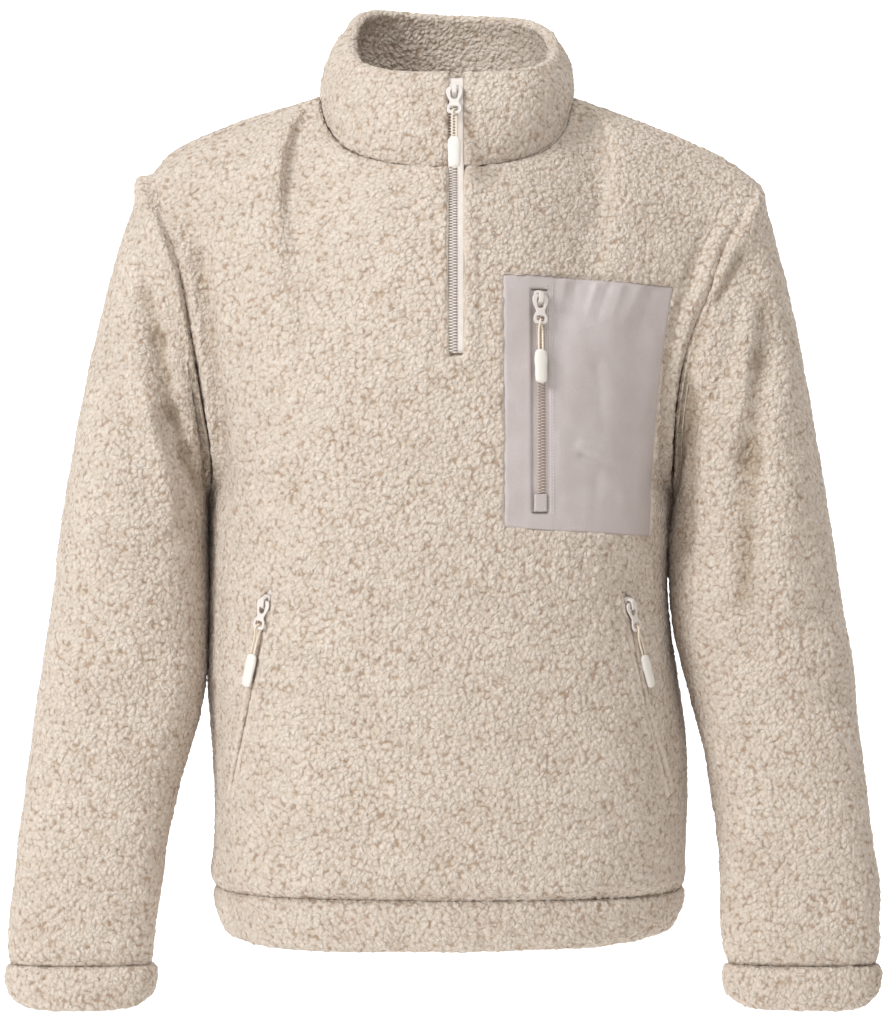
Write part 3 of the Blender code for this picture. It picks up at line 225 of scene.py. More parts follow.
SLEEVE_FOLDS = table(
    FOLD_COLUMNS,
    (FRONT, -240, -130, -216, -250, 11, -5.0), (FRONT, -216, -250, -200, -330, 11, -6.0),
    (FRONT, -262, -190, -236, -300, 16, -3.5), (FRONT, -300, -395, -230, -430, 17, -4.0),
    (FRONT, -312, -460, -240, -470, 17, -4.0), (FRONT, 236, -120, 210, -230, 12, -5.0),
    (FRONT, 254, -175, 226, -300, 14, -5.0), (FRONT, 292, -400, 220, -430, 17, -4.0),
    (FRONT, 306, -462, 236, -478, 17, -4.0), (BACK, -256, -150, -216, -300, 15, -5.0),
    (BACK, 256, -150, 206, -300, 15, -5.0), (BACK, -300, -420, -226, -436, 15, -4.5),
    (BACK, 296, -424, 222, -440, 15, -4.5), (BACK, -306, -470, -240, -462, 15, -4.0),
    (BACK, 306, -474, 236, -466, 15, -4.0),
)

# The chest pocket, its zip slot and the foot of that zip, seen from the front.
CHEST_CORNERS = table(
    "x z",
    (40.7, -135.2), (175, -142.2), (157, -338), (41.2, -329),
)
CHEST_RECESS = 2.6
CHEST_ZIP_X = 68.7
CHEST_ZIP_TOP_Z = -147.0
CHEST_ZIP_FOOT_Z = -319.0
CHEST_SLIDER_X = 67.3
CHEST_SLIDER_Z = -154.0
CHEST_STOP_WIDTH = 10.0
CHEST_STOP_LENGTH = 14.0

# The hand pockets' slits, from the top to the foot, seen from the front.
POCKET_LEFT = table("x z", (-140, -377), (-149, -430), (-159.5, -480), (-167, -515), (-172, -543))
POCKET_RIGHT = table("x z", (136, -379), (143.5, -425), (152, -468), (163, -505), (173, -539))

# The sliders and their pullers
SLIDER_LENGTH = 12.0
SLIDER_FROM_TOP = 10.0  # from a hand pocket's top to its slider
SLIDER_HALF_WIDTH = 3.9
SLIDER_THICK = 3.2
BRIDGE_HALF_WIDTH = 1.9
BRIDGE_HEIGHT = 4.6
BRIDGE_LENGTH = 10.0
SLIDER_SPAN = SLIDER_LENGTH / 2 * np.array([1, 0, -1])
HINGE_RISE = 1.9  # from the slider's top to the hinge's axis
HINGE_SHARE = 0.1  # along the slider, from its middle
PULL_THICK = 1.3
CORD_RADIUS = 0.75
LEG_SPACING = 1.6  # from the middle to each leg of the cord
EYE_Z = -19.3
CORD_END_Z = -42.0
END_LENGTH = 26.0
END_HALF_WIDTH = 4.9
END_HALF_THICK = 2.4
PULLER_LEAN = {"front": 2.0, "chest": 1.0, "pocket_left": 5.0, "pocket_right": 7.0}


def smooth(knots, values, at):
    """A smooth curve through the values at the knots, read at any place."""
    order = np.argsort(knots)
    knots = knots[order]
    values = values[order]
    slopes = np.gradient(values, knots)
    at = np.clip(np.asarray(at, float), knots[0], knots[-1])
    i = np.clip(np.searchsorted(knots, at, side="right") - 1, 0, len(knots) - 2)
    step = knots[i + 1] - knots[i]
    t = (at - knots[i]) / step
    return hermite(values[i], slopes[i] * step, values[i + 1], slopes[i + 1] * step, t)


def step_up(low, high, at):
    """0 before low, 1 after high, and a smooth rise between them."""
    t = np.clip((at - low) / (high - low), 0, 1)
    return t * t * (3 - 2 * t)


def unit(vectors):
    return vectors / np.maximum(np.linalg.norm(vectors, axis=-1, keepdims=True), 1e-9)


def hermite(start, start_lean, end, end_lean, t):
    """A curve from one end to the other, t from 0 to 1, that leaves and arrives along the leans."""
    return (
        (2 * t**3 - 3 * t**2 + 1) * start
        + (t**3 - 2 * t**2 + t) * start_lean
        + (3 * t**2 - 2 * t**3) * end
        + (t**3 - t**2) * end_lean
    )


def points(x, y, z):
    return np.stack(np.broadcast_arrays(x, y, z), axis=-1).astype(float)


def squarish(turn, square):
    """The cosine and the sine of a turn round an oval that is a little square at its corners."""
    across = (np.cos(turn) - square * np.cos(3 * turn)) / (1 - square)
    return across, (np.sin(turn) + square * np.sin(3 * turn)) / (1 - square)


# ---------------------------------------------------------------- the body's surface


def body_section(column, z, side):
    """A point of the body below the armpits. column runs from 0 at the left seam to pi at the right seam."""
    names = ("left", "right", side, "squareness")
    left, right, depth, square = (smooth(BODY["z"], BODY[name], z) for name in names)
    across, out = squarish(column, square)
    return points((left + right) / 2 - (right - left) / 2 * across, depth * out, z)


def neck_point(turn, side):
    """A point of the neck seam, turn running from 0 at the left to pi at the right."""
    sign, reach = (-1, NECK_FRONT) if side == "front" else (1, NECK_BACK)
    from_side = np.degrees(np.minimum(turn, math.pi - turn))
    height = smooth(NECK_EDGE["turn"], NECK_EDGE[side], from_side)
    return points(NECK_X - NECK_HALF_WIDTH * np.cos(turn), NECK_Y + sign * reach * np.sin(turn), height)


def top_edge(column, side):
    """Where a column of the body ends, the way it arrives there, and how far it is a shoulder's column."""
    away = -1 if side == "front" else 1
    turn = np.clip((column - NECK_COLUMN) / (math.pi - 2 * NECK_COLUMN), 0, 1) * math.pi
    neck = neck_point(turn, side)
    share_left = np.clip(column / NECK_COLUMN, 0, 1)
    share_right = np.clip((math.pi - column) / NECK_COLUMN, 0, 1)
    ends = neck.copy()
    for share, line, use in (
        (share_left, SHOULDER_LEFT, column < NECK_COLUMN),
        (share_right, SHOULDER_RIGHT, column > math.pi - NECK_COLUMN),
    ):
        x = line["x"][-1] + (line["x"][0] - line["x"][-1]) * share
        seam = points(x, NECK_Y * share, smooth(line["x"], line["z"], x))
        ends = np.where(use[..., None], seam, ends)
    inward = points(np.cos(turn), -away * np.sin(turn), 0.0)
    rise = np.radians(38 + 20 * np.sin(turn))[..., None]
    to_neck = inward * np.cos(rise) + np.array([0, 0, 1.0]) * np.sin(rise)
    over = points(0.0, -away * np.ones_like(column), 0.10)
    from_side = np.minimum(column, math.pi - column)
    shoulder = 1 - step_up(NECK_COLUMN - CORNER_SPREAD, NECK_COLUMN + CORNER_SPREAD, from_side)
    lean = unit(to_neck * (1 - shoulder[..., None]) + over * shoulder[..., None])
    return ends, lean, shoulder


def yoke_point(column, t, side):
    """A point of the body above the armpits, t running from 0 at the armpit to 1 at the shoulder or neck."""
    start = body_section(column, ARMPIT_Z, side)
    below = body_section(column, ARMPIT_Z - 1.0, side)
    end, lean, shoulder = 0, 0, 0
    for step, weight in CORNER_EASE:
        nearby = np.abs(column + step * (1 - t))
        nearby = np.where(nearby > math.pi, 2 * math.pi - nearby, nearby)
        one_end, one_lean, one_shoulder = top_edge(nearby, side)
        end = end + one_end * weight
        lean = lean + one_lean * weight
        shoulder = shoulder + one_shoulder * weight
    height = end[..., 2] - start[..., 2]
    depth = np.linalg.norm(end[..., :2] - start[..., :2], axis=-1)
    start_lean = (start - below) * (height * (1.1 + 0.5 * shoulder))[..., None]
    # How strongly a column runs on into the neck or over the shoulder.
    reach = height * 0.75 * (1 - shoulder) + (depth * 1.65 + 12) * shoulder
    return hermite(start, start_lean, end, lean * reach[..., None], t[..., None])


def armhole_point(share, side, which):
    """A point of an armhole seam, share running from 0 at the armpit to 1 at the shoulder tip."""
    line, shoulder = (ARMHOLE_LEFT, SHOULDER_LEFT) if which == "left" else (ARMHOLE_RIGHT, SHOULDER_RIGHT)
    sign, reach = (-1, ARMHOLE_FRONT) if side == "front" else (1, ARMHOLE_BACK)
    top = shoulder["z"][-1]
    z = ARMPIT_Z + (top - ARMPIT_Z) * (1 - np.cos(math.pi * share)) / 2
    y = sign * reach * np.sin(math.pi * share) ** 0.85
    x = np.where(share >= 1, shoulder["x"][-1], smooth(line["z"], line["x"], z))
    return points(x, y, z)


def panel_point(across, up, side):
    """A point of the front or back panel. across runs from 0 to 1 between its edges.

    up runs from -1 at the hem seam through 0 at the armpits to 1 at the shoulders and the neck.
    """
    low = np.minimum(up, 0)
    high = np.maximum(up, 0)
    column = math.pi * across
    lower = body_section(column, ARMPIT_Z + low * (ARMPIT_Z - BODY_END_Z), side)
    cut = ARMHOLE_COLUMN * np.sin(math.pi * np.clip(high, 0, 1)) ** 0.7
    shrunk = cut + (math.pi - 2 * cut) * across
    t = 0.5 * high + 0.25 * (1 - np.cos(math.pi * high))
    upper = yoke_point(shrunk, t, side)
    for which, edge, weight in (("left", cut, (1 - across) ** 4), ("right", math.pi - cut, across**4)):
        shift = armhole_point(high, side, which) - yoke_point(edge, t, side)
        upper = upper + shift * weight[..., None]
    return np.where((up > 0)[..., None], upper, lower)


# ---------------------------------------------------------------- the sleeves' surface


def sleeve_section(angle, z, which):
    """A point of a sleeve below the armpit. angle is 0 at the outer edge, and a quarter turn at the front."""
    line = SLEEVE_LEFT if which == "left" else SLEEVE_RIGHT
    names = ("outer", "inner", "middle", "half_depth")
    outer, inner, middle, half = (smooth(line["z"], line[name], z) for name in names)
    across, out = squarish(angle, SLEEVE_SQUARE)
    return points((outer + inner) / 2 + (outer - inner) / 2 * across, middle - half * out, z)


def sleeve_point(armhole, angle, down, which):
    """A point of a sleeve. armhole holds the seam's points, and angle the turn at which each one arrives.

    down runs from 0 at the armhole through 1 just below the armpit to 2 at the cuff seam.
    """
    sign = -1 if which == "left" else 1
    head = np.minimum(down, 1)
    tail = np.maximum(down - 1, 0)
    lower = sleeve_section(angle, SLEEVE_TOP_Z + tail * (CUFF_SEAM_Z - SLEEVE_TOP_Z), which)
    end = sleeve_section(angle, SLEEVE_TOP_Z, which)
    end_lean = unit(sleeve_section(angle, SLEEVE_TOP_Z - 1.0, which) - end)
    top = (1 + np.cos(angle)) / 2  # 1 at the shoulder tip, 0 at the armpit
    outward = 0.45 + (HEAD_SPREAD[which] - 0.45) * top
    start_lean = unit(points(sign * outward, -0.35 * np.sin(angle), -0.85))
    span = np.linalg.norm(end - armhole, axis=-1)[..., None]
    upper = hermite(armhole, start_lean * span * 0.55, end, end_lean * span * 0.8, head[..., None])
    return np.where((down > 1)[..., None], lower, upper)


# ---------------------------------------------------------------- folds and normals


def each_fold(places, folds):
    """Each fold's row of sizes, how far along it the places are, seen from the front, and its height there."""
    for row in zip(*folds.values()):
        x0, z0, x1, z1, width, depth = row[-6:]
        run = np.array([x1 - x0, z1 - z0])
        offset = places - (x0, z0)
        along = np.clip((offset @ run) / (run @ run), 0, 1)
        aside = np.linalg.norm(offset - along[..., None] * run, axis=-1)
        yield row, along, depth * np.exp(-((aside / width) ** 2))


def fold_depth(where, normals, folds):
    """How far the soft folds move each point along its normal."""
    moved = np.zeros(where.shape[:-1])
    for (facing, *_), _, rise in each_fold(where[..., [0, 2]], folds):
        moved += rise * np.clip(normals[..., 1] * facing * FOLD_FACING, 0, 1)
    return moved


def grid_normals(grid, closed, flip):
    """The outward normals of a grid of points, closed in its first direction or open."""
    if closed:
        first = np.roll(grid, -1, axis=0) - np.roll(grid, 1, axis=0)
    else:
        first = np.gradient(grid, axis=0)
    second = np.gradient(grid, axis=1)
    return unit(np.cross(first, second)) * (-1 if flip else 1)


def folded(grid, closed, flip, folds, hold):
    """The grid with its folds, and its normals. hold is 0 where an edge has to stay on its seam."""
    normals = grid_normals(grid, closed, flip)
    grid = grid + normals * (fold_depth(grid, normals, folds) * hold)[..., None]
    return grid, grid_normals(grid, closed, flip)


class Surface:
    """Reads the point and the normal of an outer surface at a place seen from the front."""

    def __init__(self, grids):
        verts = []
        faces = []
        for grid in grids:
            rows, columns = grid.shape[:2]
            ids = np.arange(rows * columns).reshape(rows, columns) + len(verts)
            verts.extend(grid.reshape(-1, 3).tolist())
            for i in range(rows - 1):
                for j in range(columns - 1):
                    faces.append((ids[i, j], ids[i + 1, j], ids[i + 1, j + 1], ids[i, j + 1]))
        self.tree = BVHTree.FromPolygons(verts, faces)

    def at(self, x, z):
        reach = 4.0
        hits = []
        for dx, dz in ((0, 0), (reach, 0), (-reach, 0), (0, reach), (0, -reach)):
            hit = self.tree.ray_cast(Vector((x + dx, -400, z + dz)), Vector((0, 1, 0)))[0]
            hits.append(np.array(hit) if hit else None)
        if hits[0] is None:
            raise ValueError(f"no cloth at x {x}, z {z}")
        right, left, above, below = (hits[0] if hit is None else hit for hit in hits[1:])
        normal = unit(np.cross(right - left, above - below))
        return hits[0], normal


def shared(*sets):
    """The mean direction of the normals that pieces have along the seam they share."""
    return unit(sum(sets))


def panel_hold(across, up):
    """How freely the folds move a panel: not at all along its seams."""
    from_side = step_up(0, 0.05, np.minimum(across, 1 - across))
    return from_side * step_up(0, 0.10, up + 1) * (1 - step_up(0.88, 1, up))


def panel(side, across, up):
    grid = panel_point(*np.meshgrid(across, up, indexing="ij"), side)
    hold = panel_hold(*np.meshgrid(across, up, indexing="ij"))
    return folded(grid, False, side == "back", BODY_FOLDS, hold)


def sleeve(which, armhole, down):
    """A sleeve's grid. armhole holds the seam from the tip down the front to the armpit, then up the back."""
    steps = np.linalg.norm(np.diff(armhole, axis=0, append=armhole[:1]), axis=-1)
    half = len(armhole) // 2
    front = np.concatenate([[0], np.cumsum(steps[:half])]) / steps[:half].sum()
    back = np.concatenate([[0], np.cumsum(steps[half:])]) / steps[half:].sum()
    angle = math.pi * np.concatenate([front[:-1], 1 + back[:-1]])
    angles, downs = np.meshgrid(angle, down, indexing="ij")
    start = np.repeat(armhole[:, None], len(down), axis=1)
    grid = sleeve_point(start, angles, downs, which)
    from_armpit = np.abs(np.cos(angles / 2))
    ridge = HEAD_RIDGE[which] * np.exp(-(((downs - 0.06) / 0.05) ** 2)) * step_up(0, 0.04, downs)
    ridge = ridge * (0.4 + 0.6 * from_armpit**2) * step_up(0, 0.35, from_armpit)
    grid = grid + grid_normals(grid, True, which == "left") * ridge[..., None]
    hold = step_up(0.0, 0.25, downs) * (1 - step_up(1.9, 2.0, downs))
    return folded(grid, True, which == "left", SLEEVE_FOLDS, hold)


def band_rings(seam, seam_normals, height_to, taper, rounding, tilt=0.0):
    """Rings of a band folded double that starts at a seam and ends at an edge at a given height."""
    rings = []
    middle = seam.mean(axis=0)
    reach = np.abs(seam[:, 0] - middle[0]).max()
    for point, normal in zip(seam, seam_normals):
        level = unit(normal * (1, 1, 0))
        inward = unit((middle - point) * (1, 1, 0))
        aside = abs(point[0] - middle[0]) / reach
        drop = point[2] - height_to - tilt * point[0] - rounding * aside**5
        outside = [
            point + level * out + np.array([0, 0, -drop * share]) + inward * taper * share
            for share, out in zip(BAND_PROFILE["share"], BAND_PROFILE["out"])
        ]
        inside = [
            outside[-1] - level * BAND_THICK / 2,
            outside[3] - level * BAND_THICK,
            outside[2] - level * BAND_THICK,
            point - normal * BAND_THICK,
        ]
        rings.append(np.array(outside + inside))
    return np.array(rings)


def collar_rings(seam, seam_normals, turns, sides):
    """Rings of the collar: up its outer side, over its rolled top edge and down inside."""
    rings = []
    for point, normal, turn, side in zip(seam, seam_normals, turns, sides):
        reach = COLLAR_TOP_FRONT if side < 0 else COLLAR_TOP_BACK
        square = COLLAR_SQUARE_FRONT if side < 0 else COLLAR_SQUARE_BACK
        out = unit(np.array([-math.cos(turn), side * math.sin(turn) * 1.1, 0.0]))
        across, away = squarish(turn, square)
        away = side * away
        top_y = NECK_Y + reach * away
        # The rim falls steadily from its sides to the front, and is nearly level behind them.
        late = COLLAR_BACK_ROUND[0] + (COLLAR_BACK_ROUND[1] - COLLAR_BACK_ROUND[0]) * (1 + across) / 2
        slope = (1 + away) / 2 if away < 0 else 1 - 0.5 * (1 - min(away, 1)) ** late
        rim = COLLAR_FRONT_Z + (COLLAR_BACK_Z - COLLAR_FRONT_Z) * slope + COLLAR_TILT * across * slope
        top = np.array([COLLAR_TOP_X - COLLAR_TOP_HALF_WIDTH * across, top_y, rim])
        rise = top - point
        half = COLLAR_THICK / 2
        outside = [
            point + rise * share + out * COLLAR_BULGE * math.sin(math.pi * share)
            for share in (0, 0.08, 0.3, 0.55, 0.78)
        ]
        roll_middle = top - out * half - np.array([0, 0, half])
        roll = [
            roll_middle + out * half * math.cos(angle) + np.array([0, 0, half * math.sin(angle)])
            for angle in np.radians((0, 35, 70, 110, 145, 180))
        ]
        inside = [outside[k] - out * COLLAR_THICK for k in (4, 3, 2)]
        inside.append(point - out * COLLAR_THICK + np.array([0, 0, COLLAR_FOOT_RISE]))
        inside.append(point - normal * FLEECE)
        rings.append(np.array(outside + roll + inside))
    return np.array(rings)


def front_surface():
    """The outer surface of the front panel and the front of the collar, fine enough to lay pieces on."""
    across = np.linspace(0, 1, 121)
    up = np.concatenate([np.linspace(-1, 0, 81), np.linspace(0, 1, 81)[1:]])
    grid, _ = panel("front", across, up)
    turns = np.linspace(math.radians(20), math.radians(160), 57)
    seam = neck_point(turns, "front")
    rings = collar_rings(seam, points(0, -1, 0) + seam * 0, turns, -np.ones(len(turns)))
    return Surface([grid, rings[:, :7]])


def frames_along(surface, path_x, path_z):
    """Points on the cloth along a path seen from the front, each with its outward, up and side directions."""
    spots = [surface.at(x, z) for x, z in zip(path_x, path_z)]
    where = np.array([spot[0] for spot in spots])
    up = unit(-np.gradient(where, axis=0))
    aside = unit(np.cross(up, np.array([spot[1] for spot in spots])))
    out = unit(np.cross(aside, up))
    return where, out, up, aside


def pull_frame(frame, lean):
    """The frame of a puller at its hinge, leaning out from the zip by an angle."""
    where, out, up, aside = frame
    hinge = where + out * (SLIDER_THICK + HINGE_RISE) + up * (SLIDER_LENGTH * HINGE_SHARE)
    turned_up = up * math.cos(lean) - out * math.sin(lean)
    turned_out = out * math.cos(lean) + up * math.sin(lean)
    return hinge, turned_out, turned_up, aside


def slider_seat(surface, xs, z, depth):
    """Where a slider sits, so far above the cloth, with its outward, up and side directions."""
    where, out, up, aside = (part[1] for part in frames_along(surface, xs, z + SLIDER_SPAN))
    return where + out * depth, out, up, aside


# How fine the meshes of the cloth are. The counts of panels and sleeves are multiples of INNER_EVERY.
INNER_EVERY = 4  # the inside of the cloth has one point for so many of the outside
PANEL_COLUMNS = 272
PANEL_BODY_ROWS = 156
PANEL_YOKE_ROWS = 152
SLEEVE_COLUMNS = 224
SLEEVE_HEAD = 144
SLEEVE_LENGTH = 144
COLLAR_COLUMNS = 320
COLLAR_STEPS = (4, 9, 10, 9, 7, 2, 3, 3, 3, 2, 5, 8, 8, 8, 3, 3)
BAND_STEPS = (4, 7, 8, 5, 2, 5, 4, 5, 4)

# The pile: the size of a curl, how high it stands, and how much broad and fine waves move it.
PILE_CURL = 4.4
PILE_HEIGHT = 1.5
PILE_CLUMP = 0.55
PILE_FINE = 0.3
PILE_BENDS = 1.3  # how far the places of the curls are moved about
PILE_WAVES = {"bend": 7.0, "clump": 13.0, "fine": 2.6, "drift": 34.0}  # the sizes of the waves
SEAM_DIP = 1.5
SEAM_WIDTH = 3.0
SEAM_LAP = 1.6  # how far the pile of one piece reaches over the next one

# How far the fleece sinks under the front zip, the hand pockets' zips and the patch
ZIP_SINKS = 5.4
POCKET_SINKS = 5.2
PATCH_SINKS = 3.0

# Across the front zip, in x: the lips of the fleece, the rows of stitching and what lies between.
ZIP_LIP_LEFT = -1.2
ZIP_LIP_RIGHT = 10.8
ZIP_STITCH_LEFT = -10.5
ZIP_STITCH_RIGHT = 23.5
FRONT_TAPE_LEFT = -4.6
FRONT_TAPE_RIGHT = 7.7
FRONT_TEETH = -0.9
CHEST_TEETH = 0.9
TOOTH_PITCH = 2.3
TOOTH_HALF_WIDTH = 1.9
TOOTH_HALF_LENGTH = 0.5
TOOTH_HALF_HEIGHT = 0.7
TOOTH_ROW = 3.4  # from the middle of the zip to the outer ends of its teeth
STITCH_PITCH = 2.6
STITCH_RADIUS = 0.36

# The rolled edges of the hand pockets: where each starts and ends beside the zip, and how wide it opens.
LIP_NEAR = 0.8
LIP_FAR = 7.4
LIP_OPENS = 3.4
LIP_OPEN_REACH = 8.0
LIP_PRESSED = 0.45  # how smooth its pile is

# Beside the armhole seams the body stands in a ridge and then sinks: how far away, how wide and how much.
ARMHOLE_RIDGE = (7.0, 5.0, 2.6)
ARMHOLE_TROUGH = (20.0, 7.0, -2.4)
ARMHOLE_FOLD_TOP = -90.0
ARMHOLE_FOLD_FOOT = -285.0
SLEEVE_DROP = (9.0, 8.0, -3.0)
SIDE_BULGE = (0.0, 13.0, 3.6)  # just under the armpits, where the body touches the sleeves
INNER_FOLLOWS = 0.6  # how much of a trough shows on the inside of the cloth

# The outer side of the chest patch lies this far over the fleece's outer surface.
PATCH_HIGH = -CHEST_RECESS + SEAM_GAP * 1.5 + WOVEN
PATCH_ARCH = 1.5  # how far the patch's top edge bends up
PATCH_BOW = 3.8  # how far its right edge bends in
PATCH_FOLD_FADES = 0.6  # how much of a crease is gone at its far end
PATCH_FOLDS = table(
    "x0 z0 x1 z1 width depth",
    (88.5, -139, 84.5, -160, 3.6, 1.5), (98, -140, 95, -158, 3.0, -0.9),
    (113.5, -141, 106, -164, 3.0, 1.5), (123.5, -141, 114, -168, 3.0, -1.2),
    (133, -142, 126, -164, 3.2, 1.0), (147, -144, 136, -170, 4.0, 1.1),
    (158, -145, 149, -172, 4.0, -0.9), (101, -267, 130, -276, 4.5, 1.4),
    (101, -274, 129, -284, 3.2, -1.4), (114, -205, 118, -255, 5.0, -1.1),
    (98, -176, 93, -248, 9.0, 1.2), (146, -178, 137, -300, 10.0, -1.3),
    (160, -180, 150, -290, 6.0, 0.8), (113, -293, 111, -328, 5.0, -1.1),
    (134, -305, 131, -333, 5.0, 1.0), (84, -262, 89, -322, 8.0, 0.9),
)

# Sharper folds on the dressed cloth, in the form of the tables of large folds.
BODY_CREASES = table(
    FOLD_COLUMNS,
    (FRONT, 206, -130, 198, -152, 6, 2.2), (FRONT, 176, -420, 172, -560, 9, -2.4),
    (FRONT, 158, -410, 160, -470, 10, 1.6), (FRONT, -130, -120, -112, -175, 12, -1.2),
    (BACK, -150, -250, -128, -330, 12, -2.0), (BACK, 148, -240, 124, -330, 12, -2.0),
    (BACK, -30, -180, -24, -300, 14, -1.2),
)
SLEEVE_CREASES = table(
    FOLD_COLUMNS,
    (FRONT, -239, -145, -228, -183, 6, -3.0), (FRONT, -228, -183, -217, -240, 6, -3.6),
    (FRONT, -217, -240, -206, -271, 6, -3.8), (FRONT, -206, -271, -190, -312, 7, -4.2),
    (FRONT, -252, -165, -236, -238, 7, 2.6), (FRONT, -236, -238, -214, -318, 7, 2.8),
    (FRONT, 229, -118, 211, -152, 5, -3.0), (FRONT, 245, -70, 219, -102, 6, 2.0),
    (FRONT, 219, -102, 204, -146, 6, 2.4), (FRONT, 247, -157, 243, -200, 9, -2.4),
    (FRONT, 243, -200, 234, -275, 9, -2.6), (FRONT, 234, -275, 227, -385, 12, -3.4),
    (FRONT, 262, -300, 258, -430, 13, 1.8), (FRONT, 233, -150, 226, -250, 8, 2.0),
    (FRONT, 184, -230, 178, -345, 13, -5.0), (FRONT, 198, -246, 226, -252, 5, -1.4),
    (BACK, -236, -200, -208, -300, 8, -3.2), (BACK, 238, -200, 206, -300, 8, -3.2),
    (BACK, -252, -220, -226, -310, 9, 2.2), (BACK, 254, -220, 224, -310, 9, 2.2),
)

# Tones of the pile from the bottom of a crevice to the tip of a curl: the darker crevices are painted shade, and
# the tones also vary at random from curl to curl.
FLEECE_TONES = (
    (0.00, (0.535, 0.44, 0.353)),
    (0.35, (0.603, 0.513, 0.432)),
    (1.00, (0.65, 0.567, 0.49)),
)
# Painted shade in the crevices of the shader's curls: how much each tone is darkened, from a crevice to a curl's
# top.
CREVICE_SHADE_TONES = ((0.16, (0.60, 0.50, 0.42)), (0.35, (0.92, 0.89, 0.865)), (0.7, (1.04, 1.04, 1.04)))
FOLD_SHADE_TONE = (0.70, 0.67, 0.62, 1.0)  # painted shade: how much darker the pile is at the bottom of a fold
PRESSED_LUMPS = (0.55, 0.55, 0.55, 1.0)  # the height of pile that lies flat
PILE_SHEEN = (1.0, 0.95, 0.9, 1.0)

# How deep the reliefs of the materials are, in metres
CURL_BUMP = 0.0027
FIBRE_BUMP = 0.0005
THREAD_BUMP = 0.00015
SLUB_BUMP = 0.0002
GRAIN_BUMP = 0.00006

FLOOR_Z = -950.0
FLOOR_REACH = 6000.0
FLOOR_BEND = 900.0
WALL_TOP = 5200.0
FLOOR_GLOW = 0.4

# The light, the world round it and the camera, in metres
WORLD_STRENGTH = 0.34
WORLD_COLOR = (1.0, 0.96, 0.915, 1.0)
LIGHT_COLOR = (0.90, 0.955, 1.0)
LIGHT_AIM = (0, 0, -0.32)
LIGHTS = (
    ("key", (-2.7, -2.4, 1.5), 1.4, 138.0),
    ("top", (0.5, -1.0, 2.4), 1.6, 46.0),
)
CAMERA_FAR = 2.6
CAMERA_PLACE = (-0.0056, -CAMERA_FAR, -0.3176)
VIEW_HEIGHT = 0.8192
SENSOR_HEIGHT = 36.0


# ---------------------------------------------------------------- seeded patterns


def hashed(cells, salt):
    """Repeatable numbers from 0 to 1 for whole-number cells."""
    n = cells[..., 0] * 374761393 + cells[..., 1] * 668265263 + cells[..., 2] * 1440662683 + salt * 974634777
    n = (n ^ (n >> 13)) * 1274126177
    n = n ^ (n >> 16)
    return (n & 0xFFFFFF) / 0xFFFFFF


def cloud(where, size, salt):
    """Smooth noise from -1 to 1."""
    at = where / size
    base = np.floor(at).astype(np.int64)
    t = at - base
    t = t * t * (3 - 2 * t)
    total = np.zeros(where.shape[:-1])
    for corner in itertools.product((0, 1), repeat=3):
        weight = np.prod(np.where(corner, t, 1 - t), axis=-1)
        total += weight * hashed(base + np.array(corner), salt)
    return total * 2 - 1


def seeds_near(where, size, salt):
    """The distances to the nearest and the second nearest of scattered seeds, and the nearest one's number."""
    at = where / size
    base = np.floor(at).astype(np.int64)
    near = np.full(where.shape[:-1], 9.0)
    second = near.copy()
    number = np.zeros(where.shape[:-1])
    for step in itertools.product((-1, 0, 1), repeat=3):
        cell = base + np.array(step)
        seed = cell + np.stack([hashed(cell, salt + k) for k in (1, 2, 3)], axis=-1)
        gap = np.linalg.norm(seed - at, axis=-1)
        closer = gap < near
        second = np.where(closer, near, np.minimum(second, gap))
        number = np.where(closer, hashed(cell, salt + 4), number)
        near = np.where(closer, gap, near)
    return near, second, number


# ---------------------------------------------------------------- meshes


def mesh_object(name, verts, faces, finish, values=None, behind=None, first_behind=0):
    """A smooth object from points in millimetres. values are numbers that its material reads at each point.

    behind is a second finish, for the faces whose points all come after first_behind."""
    mesh = bpy.data.meshes.new(name)
    mesh.from_pydata(np.asarray(verts) * MM, [], faces)
    work = bmesh.new()
    work.from_mesh(mesh)
    bmesh.ops.recalc_face_normals(work, faces=work.faces)
    work.to_mesh(mesh)
    work.free()
    mesh.shade_smooth()
    for label, numbers in (values or {}).items():
        layer = mesh.attributes.new(label, "FLOAT", "POINT")
        layer.data.foreach_set("value", np.asarray(numbers, np.float32).ravel())
    made = bpy.data.objects.new(name, mesh)
    mesh.materials.append(finish)
    if behind:
        mesh.materials.append(behind)
        starts = np.array([face[0] if len(face) == 4 else 0 for face in faces])
        mesh.polygons.foreach_set("material_index", (starts >= first_behind).astype(np.int32))
    bpy.context.scene.collection.objects.link(made)
    return made


def outward(rings, normals):
    """The normals turned so that they point away from the middle of each ring."""
    away = np.sum(normals * (rings - rings.mean(axis=1, keepdims=True)))
    return normals if away > 0 else -normals


def quads(ids, closed):
    """The four-sided faces between the rows and columns of a grid of point numbers."""
    if closed:
        ids = np.concatenate([ids, ids[:1]])
    return np.stack([ids[:-1, :-1], ids[1:, :-1], ids[1:, 1:], ids[:-1, 1:]], axis=-1).reshape(-1, 4)


def ring_faces(rings, closed=False):
    """The faces of rings set side by side. Two more close the ends, unless the rings go all the way round."""
    ids = np.arange(rings.shape[0] * rings.shape[1]).reshape(rings.shape[:2])
    faces = quads(np.concatenate([ids, ids[:, :1]], axis=1), closed).tolist()
    return faces if closed else faces + [ids[0].tolist(), ids[-1].tolist()]


def stitch(fine, coarse):
    """Faces between a row of points and a row with one point for every few of them."""
    every = (len(fine) - 1) // (len(coarse) - 1)
    faces = []
    for k in range(len(coarse) - 1):
        part = fine[k * every:(k + 1) * every + 1]
        half = every // 2
        faces += [(coarse[k], part[j], part[j + 1]) for j in range(half)]
        faces.append((coarse[k], part[half], coarse[k + 1]))
        faces += [(coarse[k + 1], part[j], part[j + 1]) for j in range(half, every)]
    return faces


